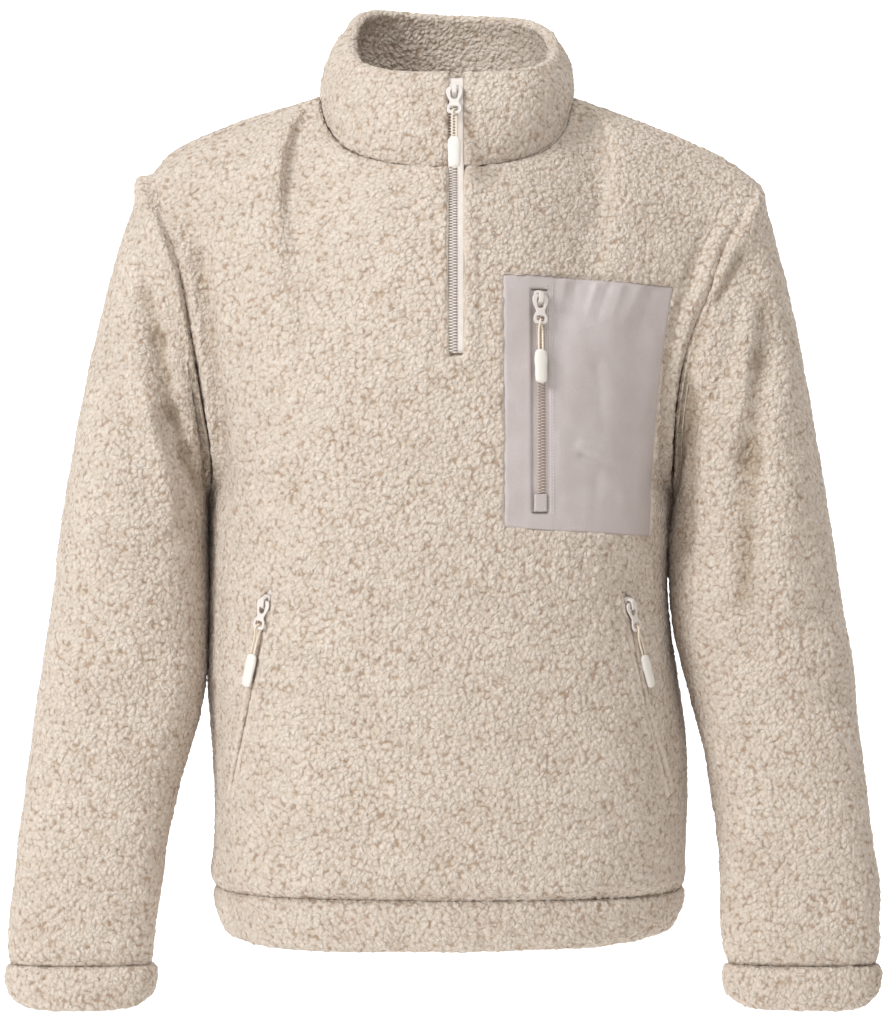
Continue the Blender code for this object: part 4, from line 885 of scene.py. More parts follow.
def shell(name, outer, inner, closed, finish, behind, values):
    """A closed wall of cloth: a fine outer grid, and an inner grid with one point for every few of it."""
    count = outer.shape[0] * outer.shape[1]
    ids = np.arange(count).reshape(outer.shape[:2])
    back = np.arange(inner.shape[0] * inner.shape[1]).reshape(inner.shape[:2]) + count
    faces = quads(ids, closed).tolist() + quads(back, closed).tolist()
    around = np.concatenate([ids, ids[:1]]) if closed else ids
    inside = np.concatenate([back, back[:1]]) if closed else back
    faces += stitch(around[:, 0], inside[:, 0]) + stitch(around[:, -1], inside[:, -1])
    if not closed:
        faces += stitch(ids[0], back[0]) + stitch(ids[-1], back[-1])
    verts = np.concatenate([outer.reshape(-1, 3), inner.reshape(-1, 3)])
    behind_values = {label: np.full(back.size, 0.5 if label == "curl" else 0.0) for label in values}
    padded = {label: np.concatenate([v.ravel(), behind_values[label]]) for label, v in values.items()}
    return mesh_object(name, verts, faces, finish, padded, behind, count)


def resample(rings, sizes):
    """Smooth finer rings: each stretch between two points of a ring gets its own number of steps."""
    rings = np.asarray(rings)
    knots = np.arange(rings.shape[1] + 1, dtype=float)
    looped = np.concatenate([rings, rings[:, :1]], axis=1)
    at = np.concatenate([k + np.linspace(0, 1, n, endpoint=False) for k, n in enumerate(sizes)])
    padded = np.concatenate([rings[:, -1:], looped, rings[:, 1:2]], axis=1)
    i = np.minimum(at.astype(int), len(knots) - 2)
    t = (at - i)[None, :, None]
    a, b, c, d = (padded[:, i + k] for k in range(4))
    return 0.5 * ((2 * b) + (c - a) * t + (2 * a - 5 * b + 4 * c - d) * t**2 + (3 * b - a - 3 * c + d) * t**3)


# ---------------------------------------------------------------- pile


def along_rows(grid, axis):
    """How far each point of a grid is from the start and from the end of its row, in millimetres."""
    steps = np.linalg.norm(np.diff(grid, axis=axis), axis=-1)
    run = np.cumsum(steps, axis=axis)
    run = np.concatenate([np.zeros_like(np.take(run, [0], axis)), run], axis=axis)
    return run, np.take(run, [-1], axis) - run


def pile(where, normals, hold=1.0, lie=0.0):
    """The curly pile on a surface: its points, and how far each is up its curl, from 0 in a crevice to 1."""
    bends = [cloud(where, PILE_WAVES["bend"], 11 + k) for k in range(3)]
    bent = where + np.stack(bends, axis=-1) * PILE_BENDS
    near, second, number = seeds_near(bent, PILE_CURL, 21)
    curl = np.clip((second - near) * 1.9, 0, 1)
    dome = np.clip(1 - (near / 0.85) ** 2, 0, 1)
    tip = (0.55 * curl + 0.45 * dome) * (0.7 + 0.3 * number)
    clump = cloud(where, PILE_WAVES["clump"], 31)
    fine = cloud(where, PILE_WAVES["fine"], 41)
    height = PILE_HEIGHT * (tip - 0.55) + PILE_CLUMP * clump + PILE_FINE * fine
    drift = cloud(where, PILE_WAVES["drift"], 51) * PILE_CLUMP
    return where + normals * ((height + drift) * hold - lie)[..., None], np.clip(tip + 0.14 * clump, 0, 1)


def seam_dip(*gaps):
    """How far the pile sinks towards seams that are so far away."""
    return sum(SEAM_DIP * np.exp(-((gap / SEAM_WIDTH) ** 2)) for gap in gaps)


def lap(rows, first, second, gap):
    """Moves the pile near a seam a little way over it. first is the seam and second the row next to it."""
    over = unit(first - second)
    return rows + over * (SEAM_LAP * np.exp(-((gap / SEAM_WIDTH) ** 2)))[..., None]


def seam_wave(gap, *waves):
    """Ridges and troughs beside a seam, each with its distance from it, its width and its height."""
    return sum(height * np.exp(-(((gap - far) / width) ** 2)) for far, width, height in waves)


def shaded(tips, rise):
    """How far up its curl each point of the pile is, lowered in the troughs of the folds, which paints shade
    there.
    """
    return np.clip(tips - 0.30 * np.clip(-rise / 4, 0, 1), 0, 1)


def painted_fold_shade(rise):
    """How much painted shade each point gets from the fold it lies in, from 0 to 1."""
    return step_up(1.2, 4.6, -rise)


def path_gap(where, normals, line_x, line_z):
    """The distance across the cloth from a path seen from the front: negative on its left, large behind."""
    order = np.argsort(line_z)
    middle = np.interp(where[..., 2], np.asarray(line_z, float)[order], np.asarray(line_x, float)[order])
    slant = np.sqrt(normals[..., 0] ** 2 + normals[..., 1] ** 2)
    steep = np.clip(-normals[..., 1] / np.maximum(slant, 0.01), 0.25, 1)
    return np.where(normals[..., 1] < -0.05, (where[..., 0] - middle) / steep, 999.0)


def between(low, high, at, ease):
    """1 between two ends and 0 outside, with a soft change."""
    return step_up(low - ease, low + ease, at) * (1 - step_up(high - ease, high + ease, at))


# ---------------------------------------------------------------- the cloth


def patch_edges(x, z):
    """The edges of the chest patch near a place: the heights of its top and foot, and the ends of its sides."""
    corner_x, corner_z = CHEST_CORNERS["x"], CHEST_CORNERS["z"]
    share = np.clip((x - corner_x[0]) / (corner_x[1] - corner_x[0]), 0, 1)
    top = corner_z[0] + (corner_z[1] - corner_z[0]) * share + PATCH_ARCH * np.sin(math.pi * share)
    foot = corner_z[3] + (corner_z[2] - corner_z[3]) * share
    down = np.clip((top - z) / (top - foot), 0, 1)
    left = corner_x[0] + (corner_x[3] - corner_x[0]) * down
    right = corner_x[1] + (corner_x[2] - corner_x[1]) * down - PATCH_BOW * np.sin(math.pi * down**0.8)
    return top, foot, left, right


def front_details(where, normals):
    """How far the front sinks for its zips, its patch and their stitching, and how freely the pile stands."""
    z = where[..., 2]
    gap = path_gap(where, normals, [ZIP_X, ZIP_X], [-300, 100])
    trough = between(ZIP_LIP_LEFT - ZIP_X, ZIP_LIP_RIGHT - ZIP_X, gap, 0.9)
    trough = trough * step_up(ZIP_FOOT_Z - 1.5, ZIP_FOOT_Z + 1, z)
    sink = trough * ZIP_SINKS
    pressed = trough
    facing = between(ZIP_STITCH_LEFT, ZIP_STITCH_RIGHT, where[..., 0], 1.2) * step_up(-212, -208, z)
    facing = facing * (normals[..., 1] < 0)
    for x in (ZIP_STITCH_LEFT, ZIP_STITCH_RIGHT):
        line = np.exp(-(((where[..., 0] - x) / 1.8) ** 2)) * step_up(-210, -205, z) * (normals[..., 1] < 0)
        sink = sink + 1.3 * line
    sink = sink - 0.5 * facing * (1 - trough)
    for line in (POCKET_LEFT, POCKET_RIGHT):
        side = path_gap(where, normals, line["x"], line["z"])
        inside = between(line["z"][-1], line["z"][0], z, 2.0)
        slit = between(-4.4, 4.4, side, 1.3) * inside
        sink = sink + POCKET_SINKS * slit - 0.9 * np.exp(-(((np.abs(side) - 8.5) / 3.5) ** 2)) * inside
        pressed = np.maximum(pressed, slit)
        row = np.exp(-(((np.abs(side) - 13.0) / 1.8) ** 2)) * inside
        sink = sink + 0.8 * row
    top, foot, left, right = patch_edges(where[..., 0], z)
    within = between(left, right, where[..., 0], 0.9) * between(foot, top, z, 0.9) * (normals[..., 1] < 0.1)
    sink = sink * (1 - within) + PATCH_SINKS * within
    near_top = np.exp(-(((z - top - 2.5) / 3.0) ** 2)) * between(left, right, where[..., 0], 2)
    sink = sink - 0.9 * near_top * (1 - within) * (normals[..., 1] < 0)
    return sink, np.maximum(pressed, within)


def ease_rows(grid, middle):
    """Rounds the fold at the height of the armpits, between the yoke and the body. The two sides stay."""
    low, high = middle - 9, middle + 10
    for _ in range(14):
        rows = grid[1:-1, low:high]
        rows += (grid[1:-1, low - 1:high - 1] + grid[1:-1, low + 1:high + 1] - 2 * rows) / 4


def inner_face(grid, normals, rise):
    """The inside of the cloth. It follows the troughs of the folds part of the way."""
    depth = FLEECE - 0.4 - INNER_FOLLOWS * np.minimum(rise, 0)
    return (grid - normals * depth[..., None])[::INNER_EVERY, ::INNER_EVERY]


def panel_piece(name, side, finish, behind):
    """The front or the back of the body."""
    across = np.linspace(0, 1, PANEL_COLUMNS + 1)
    up = np.concatenate([np.linspace(-1, 0, PANEL_BODY_ROWS + 1), np.linspace(0, 1, PANEL_YOKE_ROWS + 1)[1:]])
    grid, normals = panel(side, across, up)
    ease_rows(grid, PANEL_BODY_ROWS)
    normals = grid_normals(grid, False, side == "back")
    from_left, from_right = along_rows(grid, 0)
    from_foot, from_top = along_rows(grid, 1)
    beside = 0.35 + 0.65 * step_up(-0.08, 0.12, up)
    open_side = between(ARMHOLE_FOLD_FOOT, ARMHOLE_FOLD_TOP, grid[..., 2], 25.0)
    rise = fold_depth(grid, normals, BODY_CREASES) * step_up(0, 12, np.minimum(from_foot, from_top))
    for gap in (from_left, from_right):
        rise = rise + seam_wave(gap, ARMHOLE_RIDGE, ARMHOLE_TROUGH) * open_side
        rise = rise + seam_wave(gap, SIDE_BULGE) * between(-366.0, -298.0, grid[..., 2], 8.0)
    dip = (seam_dip(from_left) + seam_dip(from_right)) * beside + seam_dip(from_foot) + 0.8 * seam_dip(from_top)
    sink, pressed = front_details(grid, normals) if side == "front" else (0.0, np.zeros_like(dip))
    loose, tips = pile(grid, normals, 1 - 0.85 * pressed, dip + sink - rise * (1 - pressed))
    # Painted shade: the pile's tones darken where it sinks under the zips and into the pocket slits, and in the
    # troughs of the folds.
    tips = shaded(tips * (1 - 0.6 * pressed), rise)
    loose = lap(loose, grid[:1], grid[1:2], from_left)
    loose = lap(loose, grid[-1:], grid[-2:-1], from_right)
    loose = lap(loose, grid[:, :1], grid[:, 1:2], from_foot)
    loose = lap(loose, grid[:, -1:], grid[:, -2:-1], from_top)
    inner = inner_face(grid, normals, rise)
    made = shell(name, loose, inner, False, finish, behind, {"curl": tips, "press": pressed, "fold_shade": painted_fold_shade(rise)})
    return made, grid, normals


def sleeve_piece(name, which, finish, behind):
    """A sleeve, from its armhole seam to its cuff seam."""
    edge = 0.0 if which == "left" else 1.0
    half = SLEEVE_COLUMNS // 2
    heights = np.linspace(1, 0, half + 1)
    front = panel_point(np.full(half + 1, edge), heights, "front")
    back = panel_point(np.full(half + 1, edge), heights[::-1], "back")
    armhole = np.concatenate([front, back[1:-1]])
    down = np.concatenate([np.linspace(0, 1, SLEEVE_HEAD + 1), np.linspace(1, 2, SLEEVE_LENGTH + 1)[1:]])
    grid, normals = sleeve(which, armhole, down)
    from_head, from_cuff = along_rows(grid, 1)
    dip = 0.55 * seam_dip(from_head) + seam_dip(from_cuff)
    rise = fold_depth(grid, normals, SLEEVE_CREASES) * step_up(0, 10, np.minimum(from_head, from_cuff))
    side_on = between(ARMHOLE_FOLD_FOOT - 20, ARMHOLE_FOLD_TOP - 60, grid[..., 2], 25.0)
    rise = rise + seam_wave(from_head, SLEEVE_DROP) * side_on
    rise = np.maximum(rise, -4.6)
    loose, tips = pile(grid, normals, 1.0, dip - rise)
    # Painted shade: the pile's tones darken in the troughs of the folds.
    tips = shaded(tips, rise)
    loose = lap(loose, grid[:, :1], grid[:, 1:2], from_head)
    loose = lap(loose, grid[:, -1:], grid[:, -2:-1], from_cuff)
    inner = inner_face(grid, normals, rise)
    made = shell(name, loose, inner, True, finish, behind, {"curl": tips, "fold_shade": painted_fold_shade(rise)})
    return made, grid, normals


def ring_normals(rings):
    """The outward normals of rings set side by side, closed along each ring."""
    first = np.gradient(rings, axis=0)
    second = np.roll(rings, -1, axis=1) - np.roll(rings, 1, axis=1)
    return unit(np.cross(first, second))


def closed_normals(rings):
    looped = np.concatenate([rings[-1:], rings, rings[:1]])
    return ring_normals(looped)[1:-1]


def band_piece(name, seam, seam_normals, height_to, taper, rounding, tilt, finish):
    """A band folded double, closed round the hem or a cuff."""
    coarse = band_rings(seam, seam_normals, height_to, taper, rounding, tilt)
    rings = resample(coarse, BAND_STEPS)
    normals = outward(rings, closed_normals(rings))
    share = np.clip((seam[:, None, 2] - rings[..., 2]) / (seam[:, None, 2] - rings[..., 2].min()), 0, 1)
    dip = SEAM_DIP * np.exp(-((share / 0.12) ** 2))
    inside = np.zeros(rings.shape[1])
    inside[-BAND_STEPS[-1] - BAND_STEPS[-2]:] = 1
    loose, tips = pile(rings, normals, 1 - 0.6 * inside[None], dip)
    from_seam = along_rows(rings[:, :-BAND_STEPS[-1]], 1)[0]
    outer = slice(0, from_seam.shape[1])
    loose[:, outer] = lap(loose[:, outer], rings[:, :1], rings[:, 1:2], from_seam)
    return mesh_object(name, loose.reshape(-1, 3), ring_faces(rings, True), finish, {"curl": tips})


def collar_piece(finish):
    """The collar, open at the front where the zip runs up it."""
    right = math.acos((NECK_X - ZIP_LIP_RIGHT) / NECK_HALF_WIDTH)
    left = math.acos((NECK_X - ZIP_LIP_LEFT) / NECK_HALF_WIDTH)
    turn = np.linspace(right, 2 * math.pi + left, COLLAR_COLUMNS + 1)
    is_back = (turn > math.pi) & (turn <= 2 * math.pi)
    turns = np.where(turn > 2 * math.pi, turn - 2 * math.pi, np.where(is_back, 2 * math.pi - turn, turn))
    sides = np.where(is_back, 1, -1)
    across = (NECK_COLUMN + turns / math.pi * (math.pi - 2 * NECK_COLUMN)) / math.pi
    seam = np.where(is_back[:, None], neck_point(turns, "back"), neck_point(turns, "front"))
    upright = unit(points(-np.cos(turns), sides * np.sin(turns), 0.0))
    close = np.array([0.96, 0.98, 1.0])
    body = np.zeros_like(seam)
    for side, use in (("front", ~is_back), ("back", is_back)):
        order = np.argsort(across[use])
        _, normals = panel(side, across[use][order], close)
        body[use] = normals[np.argsort(order), -1]
    lifted = seam + np.array([0, 0, COLLAR_LIFT])
    rings = resample(collar_rings(lifted, shared(body, upright), turns, sides), COLLAR_STEPS)
    for end, target in ((0, ZIP_LIP_RIGHT), (-1, ZIP_LIP_LEFT)):
        shift = target - rings[end, :, 0]
        far = np.abs(turn - turn[end]) * NECK_HALF_WIDTH
        rings[..., 0] += shift[None] * (1 - step_up(0, 26, far))[:, None]
    normals = outward(rings, ring_normals(rings))
    from_end = np.minimum(turn - turn[0], turn[-1] - turn) * NECK_HALF_WIDTH
    low = np.clip((rings[..., 2] - rings[:, :1, 2]), 0, None)
    dip = SEAM_DIP * 1.1 * np.exp(-((low / SEAM_WIDTH) ** 2)) + 1.2 * np.exp(-((from_end[:, None] / 2.0) ** 2))
    loose, tips = pile(rings, normals, 1 - 0.6 * np.exp(-((from_end[:, None] / 2.5) ** 2)), dip)
    up_side = sum(COLLAR_STEPS[:5])
    from_seam = along_rows(rings[:, :up_side], 1)[0]
    loose[:, :up_side] = lap(loose[:, :up_side], rings[:, :1], rings[:, 1:2], from_seam)
    return mesh_object("sherpa_collar", loose.reshape(-1, 3), ring_faces(rings), finish, {"curl": tips})


# ---------------------------------------------------------------- patch, zips and stitching


def patch_outline(shares_x, shares_z):
    """Places over the chest patch seen from the front. Whole steps of the shares fall on the edges of its slot."""
    corner_x = CHEST_CORNERS["x"]
    knots_z = np.array([0.0, 1.0, 2.0, 3.0])
    slot = (CHEST_ZIP_X - CHEST_SLOT / 2, CHEST_ZIP_X + CHEST_SLOT / 2)
    x = np.interp(shares_x, [0, 1, 2, 3], [corner_x[0], *slot, corner_x[1]]) + 0 * shares_z
    for _ in range(3):
        top, foot, _, _ = patch_edges(x, 0.0)
        i = np.minimum(shares_z.astype(int), 2)
        ends = [top, CHEST_ZIP_TOP_Z + 0 * x, CHEST_ZIP_FOOT_Z + 0 * x, foot]
        low = np.choose(i, ends[:3])
        high = np.choose(i, ends[1:])
        z = low + (high - low) * (shares_z - knots_z[i])
        left, right = patch_edges(x, z)[2:]
        j = np.minimum(shares_x.astype(int), 2)
        sides = [left, slot[0] + 0 * x, slot[1] + 0 * x, right]
        start = np.choose(j, sides[:3])
        end = np.choose(j, sides[1:])
        x = start + (end - start) * (shares_x - j)
    return x, z


def patch_wrinkles(x, z):
    """The soft creases of the woven patch, in millimetres out from it."""
    folds = each_fold(np.stack([x, z], axis=-1), PATCH_FOLDS)
    out = sum(rise * (1 - PATCH_FOLD_FADES * along) for _, along, rise in folds)
    flat = points(x, 0.0, z)
    return out + 0.35 * cloud(flat, 22.0, 61) + 0.12 * cloud(flat, 7.0, 62)


def patch_piece(surface, finish):
    """The woven chest patch, with a slot for its zip."""
    shares_x = np.concatenate([np.linspace(0, 1, 15), np.linspace(1, 2, 5)[1:], np.linspace(2, 3, 72)[1:]])
    shares_z = np.concatenate([np.linspace(0, 1, 6), np.linspace(1, 2, 118)[1:], np.linspace(2, 3, 13)[1:]])
    sx, sz = np.meshgrid(shares_x, shares_z, indexing="ij")
    x, z = patch_outline(sx, sz)
    spots = [surface.at(px, pz) for px, pz in zip(x.ravel(), z.ravel())]
    where = np.array([spot[0] for spot in spots]).reshape(*x.shape, 3)
    out = np.array([spot[1] for spot in spots]).reshape(*x.shape, 3)
    for _ in range(6):
        for grid in (where, out):
            grid[1:-1, 1:-1] = (grid[:-2, 1:-1] + grid[2:, 1:-1] + grid[1:-1, :-2] + grid[1:-1, 2:]) / 4
    out = unit(out)
    from_left, from_right = along_rows(where, 0)
    from_top, from_foot = along_rows(where, 1)
    edge = np.minimum(np.minimum(from_left, from_right), np.minimum(from_top, from_foot))
    rise = patch_wrinkles(x, z) * step_up(0, 5, edge) - 0.8 * np.exp(-((edge / 1.0) ** 2))
    by_slot = np.maximum(np.abs(x - CHEST_ZIP_X) - CHEST_SLOT / 2, 0)
    rise = rise * step_up(0, 6, by_slot) + 0.35 * np.exp(-(((by_slot - 1.2) / 1.2) ** 2))
    top = where + out * (PATCH_HIGH + rise)[..., None]
    low = where + out * (PATCH_HIGH - WOVEN + np.minimum(rise, 0))[..., None]
    kept = np.ones((x.shape[0] - 1, x.shape[1] - 1), bool)
    kept[14:18, 5:122] = False
    ids = np.arange(x.size).reshape(x.shape)
    faces = quads(ids, False).reshape(*kept.shape, 4)[kept].tolist()
    sides = {}
    for a, b, c, d in faces:
        for pair in ((a, b), (b, c), (c, d), (d, a)):
            sides[frozenset(pair)] = sides.get(frozenset(pair), 0) + 1
    rim = [tuple(pair) for pair, count in sides.items() if count == 1]
    faces += [[k + x.size for k in face[::-1]] for face in faces]
    faces += [[a, b, b + x.size, a + x.size] for a, b in rim]
    verts = np.concatenate([top.reshape(-1, 3), low.reshape(-1, 3)])
    used = np.unique(np.concatenate([np.array(face) for face in faces]))
    renumber = np.full(len(verts), -1)
    renumber[used] = np.arange(len(used))
    return mesh_object("satin_patch", verts[used], [renumber[face].tolist() for face in faces], finish)


def path_run(path):
    """How far along its path each point lies."""
    return np.concatenate([[0], np.cumsum(np.linalg.norm(np.diff(path, axis=0), axis=-1))])


def lip_piece(name, frames, side, finish):
    """The rolled edge of the fleece on one side of a hand pocket's zip. It stands open at the slider."""
    where, out, _, aside = frames
    run = path_run(where)
    near = LIP_NEAR + LIP_OPENS * np.exp(-(((run - SLIDER_FROM_TOP) / LIP_OPEN_REACH) ** 4))
    ends = np.minimum(run, run[-1] - run)
    low = 1.6 * np.exp(-((ends / 3.0) ** 2))
    rings = []
    for k in range(len(where)):
        profile = [
            (near[k], -2.9), (near[k] - 0.2, -1.7), (near[k] + 0.4, -0.5), (near[k] + 1.5, 0.5),
            (near[k] + 3.0, 0.8), (max(near[k] + 4.4, LIP_FAR - 1.6), 0.3), (LIP_FAR + 1.0, -1.4), (LIP_FAR, -3.4),
        ]
        rings.append([where[k] + side * aside[k] * s + out[k] * (d - low[k]) for s, d in profile])
    rings = resample(rings, (2, 2, 2, 3, 3, 3, 3, 2))
    normals = outward(rings, ring_normals(rings))
    loose, tips = pile(rings, normals, 0.55)
    values = {"curl": tips, "press": np.full(tips.shape, LIP_PRESSED)}
    return mesh_object(name, loose.reshape(-1, 3), ring_faces(rings), finish, values)


def steps_along(where, spacing):
    """Evenly spaced places along a path: which stretch each is on, and how far along that stretch."""
    run = path_run(where)
    at = np.arange(spacing / 2, run[-1], spacing)
    i = np.clip(np.searchsorted(run, at) - 1, 0, len(run) - 2)
    return i, (at - run[i]) / (run[i + 1] - run[i])


def beads(name, middles, axes, finish, rings=3, sides=8, square=0.7):
    """Rounded blocks, one at each middle. axes holds each one's half length, half width and half height."""
    verts = []
    faces = []
    for middle, (first, second, third) in zip(middles, axes):
        start = len(verts)
        verts.append(middle - first)
        for k in range(rings):
            lean = math.pi * (k + 1) / (rings + 1)
            along = -math.copysign(abs(math.cos(lean)) ** square, math.cos(lean))
            wide = math.sin(lean) ** square
            for turn in np.linspace(0, 2 * math.pi, sides, endpoint=False):
                c, s = math.cos(turn), math.sin(turn)
                c = math.copysign(abs(c) ** square, c)
                s = math.copysign(abs(s) ** square, s)
                verts.append(middle + first * along + second * wide * c + third * wide * s)
        verts.append(middle + first)
        for j in range(sides):
            n = (j + 1) % sides
            faces.append((start, start + 1 + n, start + 1 + j))
            for k in range(rings - 1):
                a = start + 1 + k * sides
                faces.append((a + j, a + n, a + sides + n, a + sides + j))
            last = start + 1 + (rings - 1) * sides
            faces.append((last + j, last + n, start + 1 + rings * sides))
    return mesh_object(name, verts, faces, finish)


def teeth(name, frames, middle, height, finish):
    """Two rows of zip teeth that meet in the middle, turn and turn about."""
    where, out, up, aside = frames
    stretch, share = steps_along(where, TOOTH_PITCH / 2)
    middles = []
    axes = []
    for k, (i, t) in enumerate(zip(stretch, share)):
        side = 1 if k % 2 else -1
        spot = where[i] * (1 - t) + where[i + 1] * t
        middles.append(spot + aside[i] * (middle + side * (TOOTH_HALF_WIDTH - 0.5)) + out[i] * height)
        axes.append((aside[i] * TOOTH_HALF_WIDTH, up[i] * TOOTH_HALF_LENGTH, out[i] * TOOTH_HALF_HEIGHT))
    return beads(name, middles, axes, finish)


def teeth_shade_strip(name, frames, middle, depth, finish):
    """A dark strip under the teeth: painted shade in the gaps between them."""
    return tape(name, frames, middle - TOOTH_ROW, middle + TOOTH_ROW, depth, depth + 0.3, finish, 4)


def stitches(name, where, out, finish):
    """A row of stitches along a path on the cloth."""
    stretch, share = steps_along(where, STITCH_PITCH)
    middles = []
    axes = []
    for i, t in zip(stretch, share):
        ahead = unit(where[i + 1] - where[i])
        middles.append(where[i] * (1 - t) + where[i + 1] * t + out[i] * STITCH_RADIUS * 0.4)
        side = np.cross(out[i], ahead)
        axes.append((ahead * STITCH_PITCH * 0.38, side * STITCH_RADIUS, out[i] * STITCH_RADIUS))
    return beads(name, middles, axes, finish, 3, 6, 0.9)


def tape(name, frames, left, right, low, high, finish, columns=10):
    """A woven strip with rounded edges along a path, between two places beside it and two depths."""
    where, out, _, aside = frames
    across = left + (right - left) * np.arange(columns + 1) / columns
    profile = [(s, high) for s in across[1:-1]]
    profile = [(left, high - 0.25), *profile, (right, high - 0.25), (right, low), (left, low)]
    rings = np.array([[p + a * s + n * d for s, d in profile] for p, n, a in zip(where, out, aside)])
    return mesh_object(name, rings.reshape(-1, 3), ring_faces(rings), finish)


# ---------------------------------------------------------------- sliders and pullers


def rounded(outline, steps):
    """A closed outline with smooth corners, through the middles of its sides."""
    corners = np.array(outline, float)
    before = (np.roll(corners, 1, axis=0) + corners) / 2
    after = (np.roll(corners, -1, axis=0) + corners) / 2
    t = np.linspace(0, 1, steps, endpoint=False)[:, None]
    bends = zip(before, corners, after)
    return np.concatenate([(1 - t) ** 2 * a + 2 * t * (1 - t) * c + t**2 * b for a, c, b in bends])


def plate(outlines, half, edge):
    """The points and faces of a flat plate with rounded edges, from its outline and the outlines of its holes."""
    flat = bpy.data.curves.new("plate", "CURVE")
    flat.dimensions = "2D"
    flat.fill_mode = "BOTH"
    flat.extrude = half - edge
    flat.bevel_depth = edge
    flat.bevel_resolution = 2
    flat.offset = -edge
    for outline in outlines:
        spline = flat.splines.new("POLY")
        spline.points.add(len(outline) - 1)
        spline.points.foreach_set("co", np.array([(x, y, 0, 1) for x, y in outline], np.float32).ravel())
        spline.use_cyclic_u = True
    holder = bpy.data.objects.new("plate", flat)
    mesh = holder.to_mesh()
    work = bmesh.new()
    work.from_mesh(mesh)
    bmesh.ops.remove_doubles(work, verts=work.verts, dist=0.001)
    work.verts.index_update()
    verts = np.array([tuple(v.co) for v in work.verts])
    faces = [[v.index for v in face.verts] for face in work.faces]
    work.free()
    holder.to_mesh_clear()
    bpy.data.objects.remove(holder)
    bpy.data.curves.remove(flat)
    return verts, faces


def placed(verts, frame_at, order=(0, 1, 2)):
    """Points given as distances sideways, up and out in a frame, in the model's millimetres."""
    where, out, up, aside = frame_at
    axes = (aside, up, out)
    return where + sum(verts[:, [k]] * axes[order[k]] for k in range(3))


def hard_object(name, parts, finish):
    verts = np.concatenate([part[0] for part in parts])
    faces = []
    start = 0
    for part_verts, part_faces in parts:
        faces += [[k + start for k in face] for face in part_faces]
        start += len(part_verts)
    made = mesh_object(name, verts, faces, finish)
    made.data.set_sharp_from_angle(angle=math.radians(40))
    return made


def slider_piece(name, at, finish):
    half = SLIDER_LENGTH / 2
    wide = SLIDER_HALF_WIDTH
    outline = [
        (-wide * 0.62, -half), (wide * 0.62, -half), (wide * 0.74, -half * 0.3), (wide, half * 0.5),
        (wide * 0.8, half), (-wide * 0.8, half), (-wide, half * 0.5), (-wide * 0.74, -half * 0.3),
    ]
    body, body_faces = plate([rounded(outline, 5)], SLIDER_THICK / 2, 0.5)
    body = placed(body + (0, 0, SLIDER_THICK / 2), at)
    reach = BRIDGE_LENGTH / 2
    arch = [
        (-reach, -1), (-reach, 1.6), (-reach + 1.6, BRIDGE_HEIGHT), (reach - 1.6, BRIDGE_HEIGHT),
        (reach, 1.6), (reach, -1), (reach - 1.6, -1), (reach - 1.6, 1.4),
        (reach - 2.6, BRIDGE_HEIGHT - 1.3), (-reach + 2.6, BRIDGE_HEIGHT - 1.3),
        (-reach + 1.6, 1.4), (-reach + 1.6, -1),
    ]
    bridge, bridge_faces = plate([np.array(arch)], BRIDGE_HALF_WIDTH, 0.35)
    bridge = np.stack([bridge[:, 2], bridge[:, 0], bridge[:, 1] + SLIDER_THICK], axis=-1)
    return hard_object(name, [(body, body_faces), (placed(bridge, at), bridge_faces)], finish)


def tab_piece(name, at, finish):
    outline = [
        (-5.6, 0.4), (-2.6, 0.9), (2.6, 0.9), (5.6, 0.4), (6.6, -2.8), (5.9, -6.3), (3.6, -11.3), (3.4, -12.8),
        (5.6, -16.3), (5.8, -19.8), (4.2, -22.4), (-4.2, -22.4), (-5.8, -19.8), (-5.6, -16.3), (-3.4, -12.8),
        (-3.6, -11.3), (-5.9, -6.3), (-6.6, -2.8),
    ]
    slot = [(-2.9, -0.8), (2.9, -0.8), (2.9, -8.0), (1.6, -9.8), (-1.6, -9.8), (-2.9, -8.0)]
    eye = [(-3.2, -15.7), (3.2, -15.7), (3.6, -18.2), (2.6, -20.1), (-2.6, -20.1), (-3.6, -18.2)]
    verts, faces = plate([rounded(outline, 4), rounded(slot, 4), rounded(eye, 5)], PULL_THICK / 2, 0.3)
    return hard_object(name, [(placed(verts, at), faces)], finish)


def tube_rings(path, radius, sides):
    along = unit(np.gradient(path, axis=0))
    first = unit(np.cross(along[0], (0.3, 0.9, 0.2)))
    rings = []
    for point, ahead, size in zip(path, along, radius):
        first = unit(first - ahead * np.dot(first, ahead))
        second = np.cross(ahead, first)
        turns = np.linspace(0, 2 * math.pi, sides, endpoint=False)
        rings.append([point + size * (first * math.cos(turn) + second * math.sin(turn)) for turn in turns])
    return np.array(rings)


def rings_object(name, rings, finish):
    made = mesh_object(name, rings.reshape(-1, 3), ring_faces(rings), finish)
    made.data.set_sharp_from_angle(angle=math.radians(60))
    return made


def cord_piece(name, at, finish):
    """The cord's two legs run from the moulded end through the tab's eye. Its plait shows as small swellings."""
    where, out, up, aside = at
    leg = LEG_SPACING
    route = [
        (-leg, 0.0, CORD_END_Z), (-leg, 0.0, -31.8), (-leg, 0.5, -26.3), (-leg * 0.9, 1.6, -22.8),
        (-0.9, 1.7, -20.4), (-0.2, 0.6, EYE_Z + 0.5), (0.2, -0.6, EYE_Z + 0.5), (0.9, -1.7, -20.4),
        (leg * 0.9, -1.6, -22.8), (leg, -0.5, -26.3), (leg, 0.0, -31.8), (leg, 0.0, CORD_END_Z),
    ]
    keys = np.linspace(0, 1, len(route))
    finer = np.linspace(0, 1, 121)
    local = np.array([smooth(keys, np.array(column), finer) for column in zip(*route)]).T
    path = where + local[:, [0]] * aside + local[:, [1]] * out + local[:, [2]] * up
    run = path_run(path)
    radius = CORD_RADIUS * (1 + 0.07 * np.sin(run * 2 * math.pi / 1.1))
    return rings_object(name, tube_rings(path, radius, 10), finish)


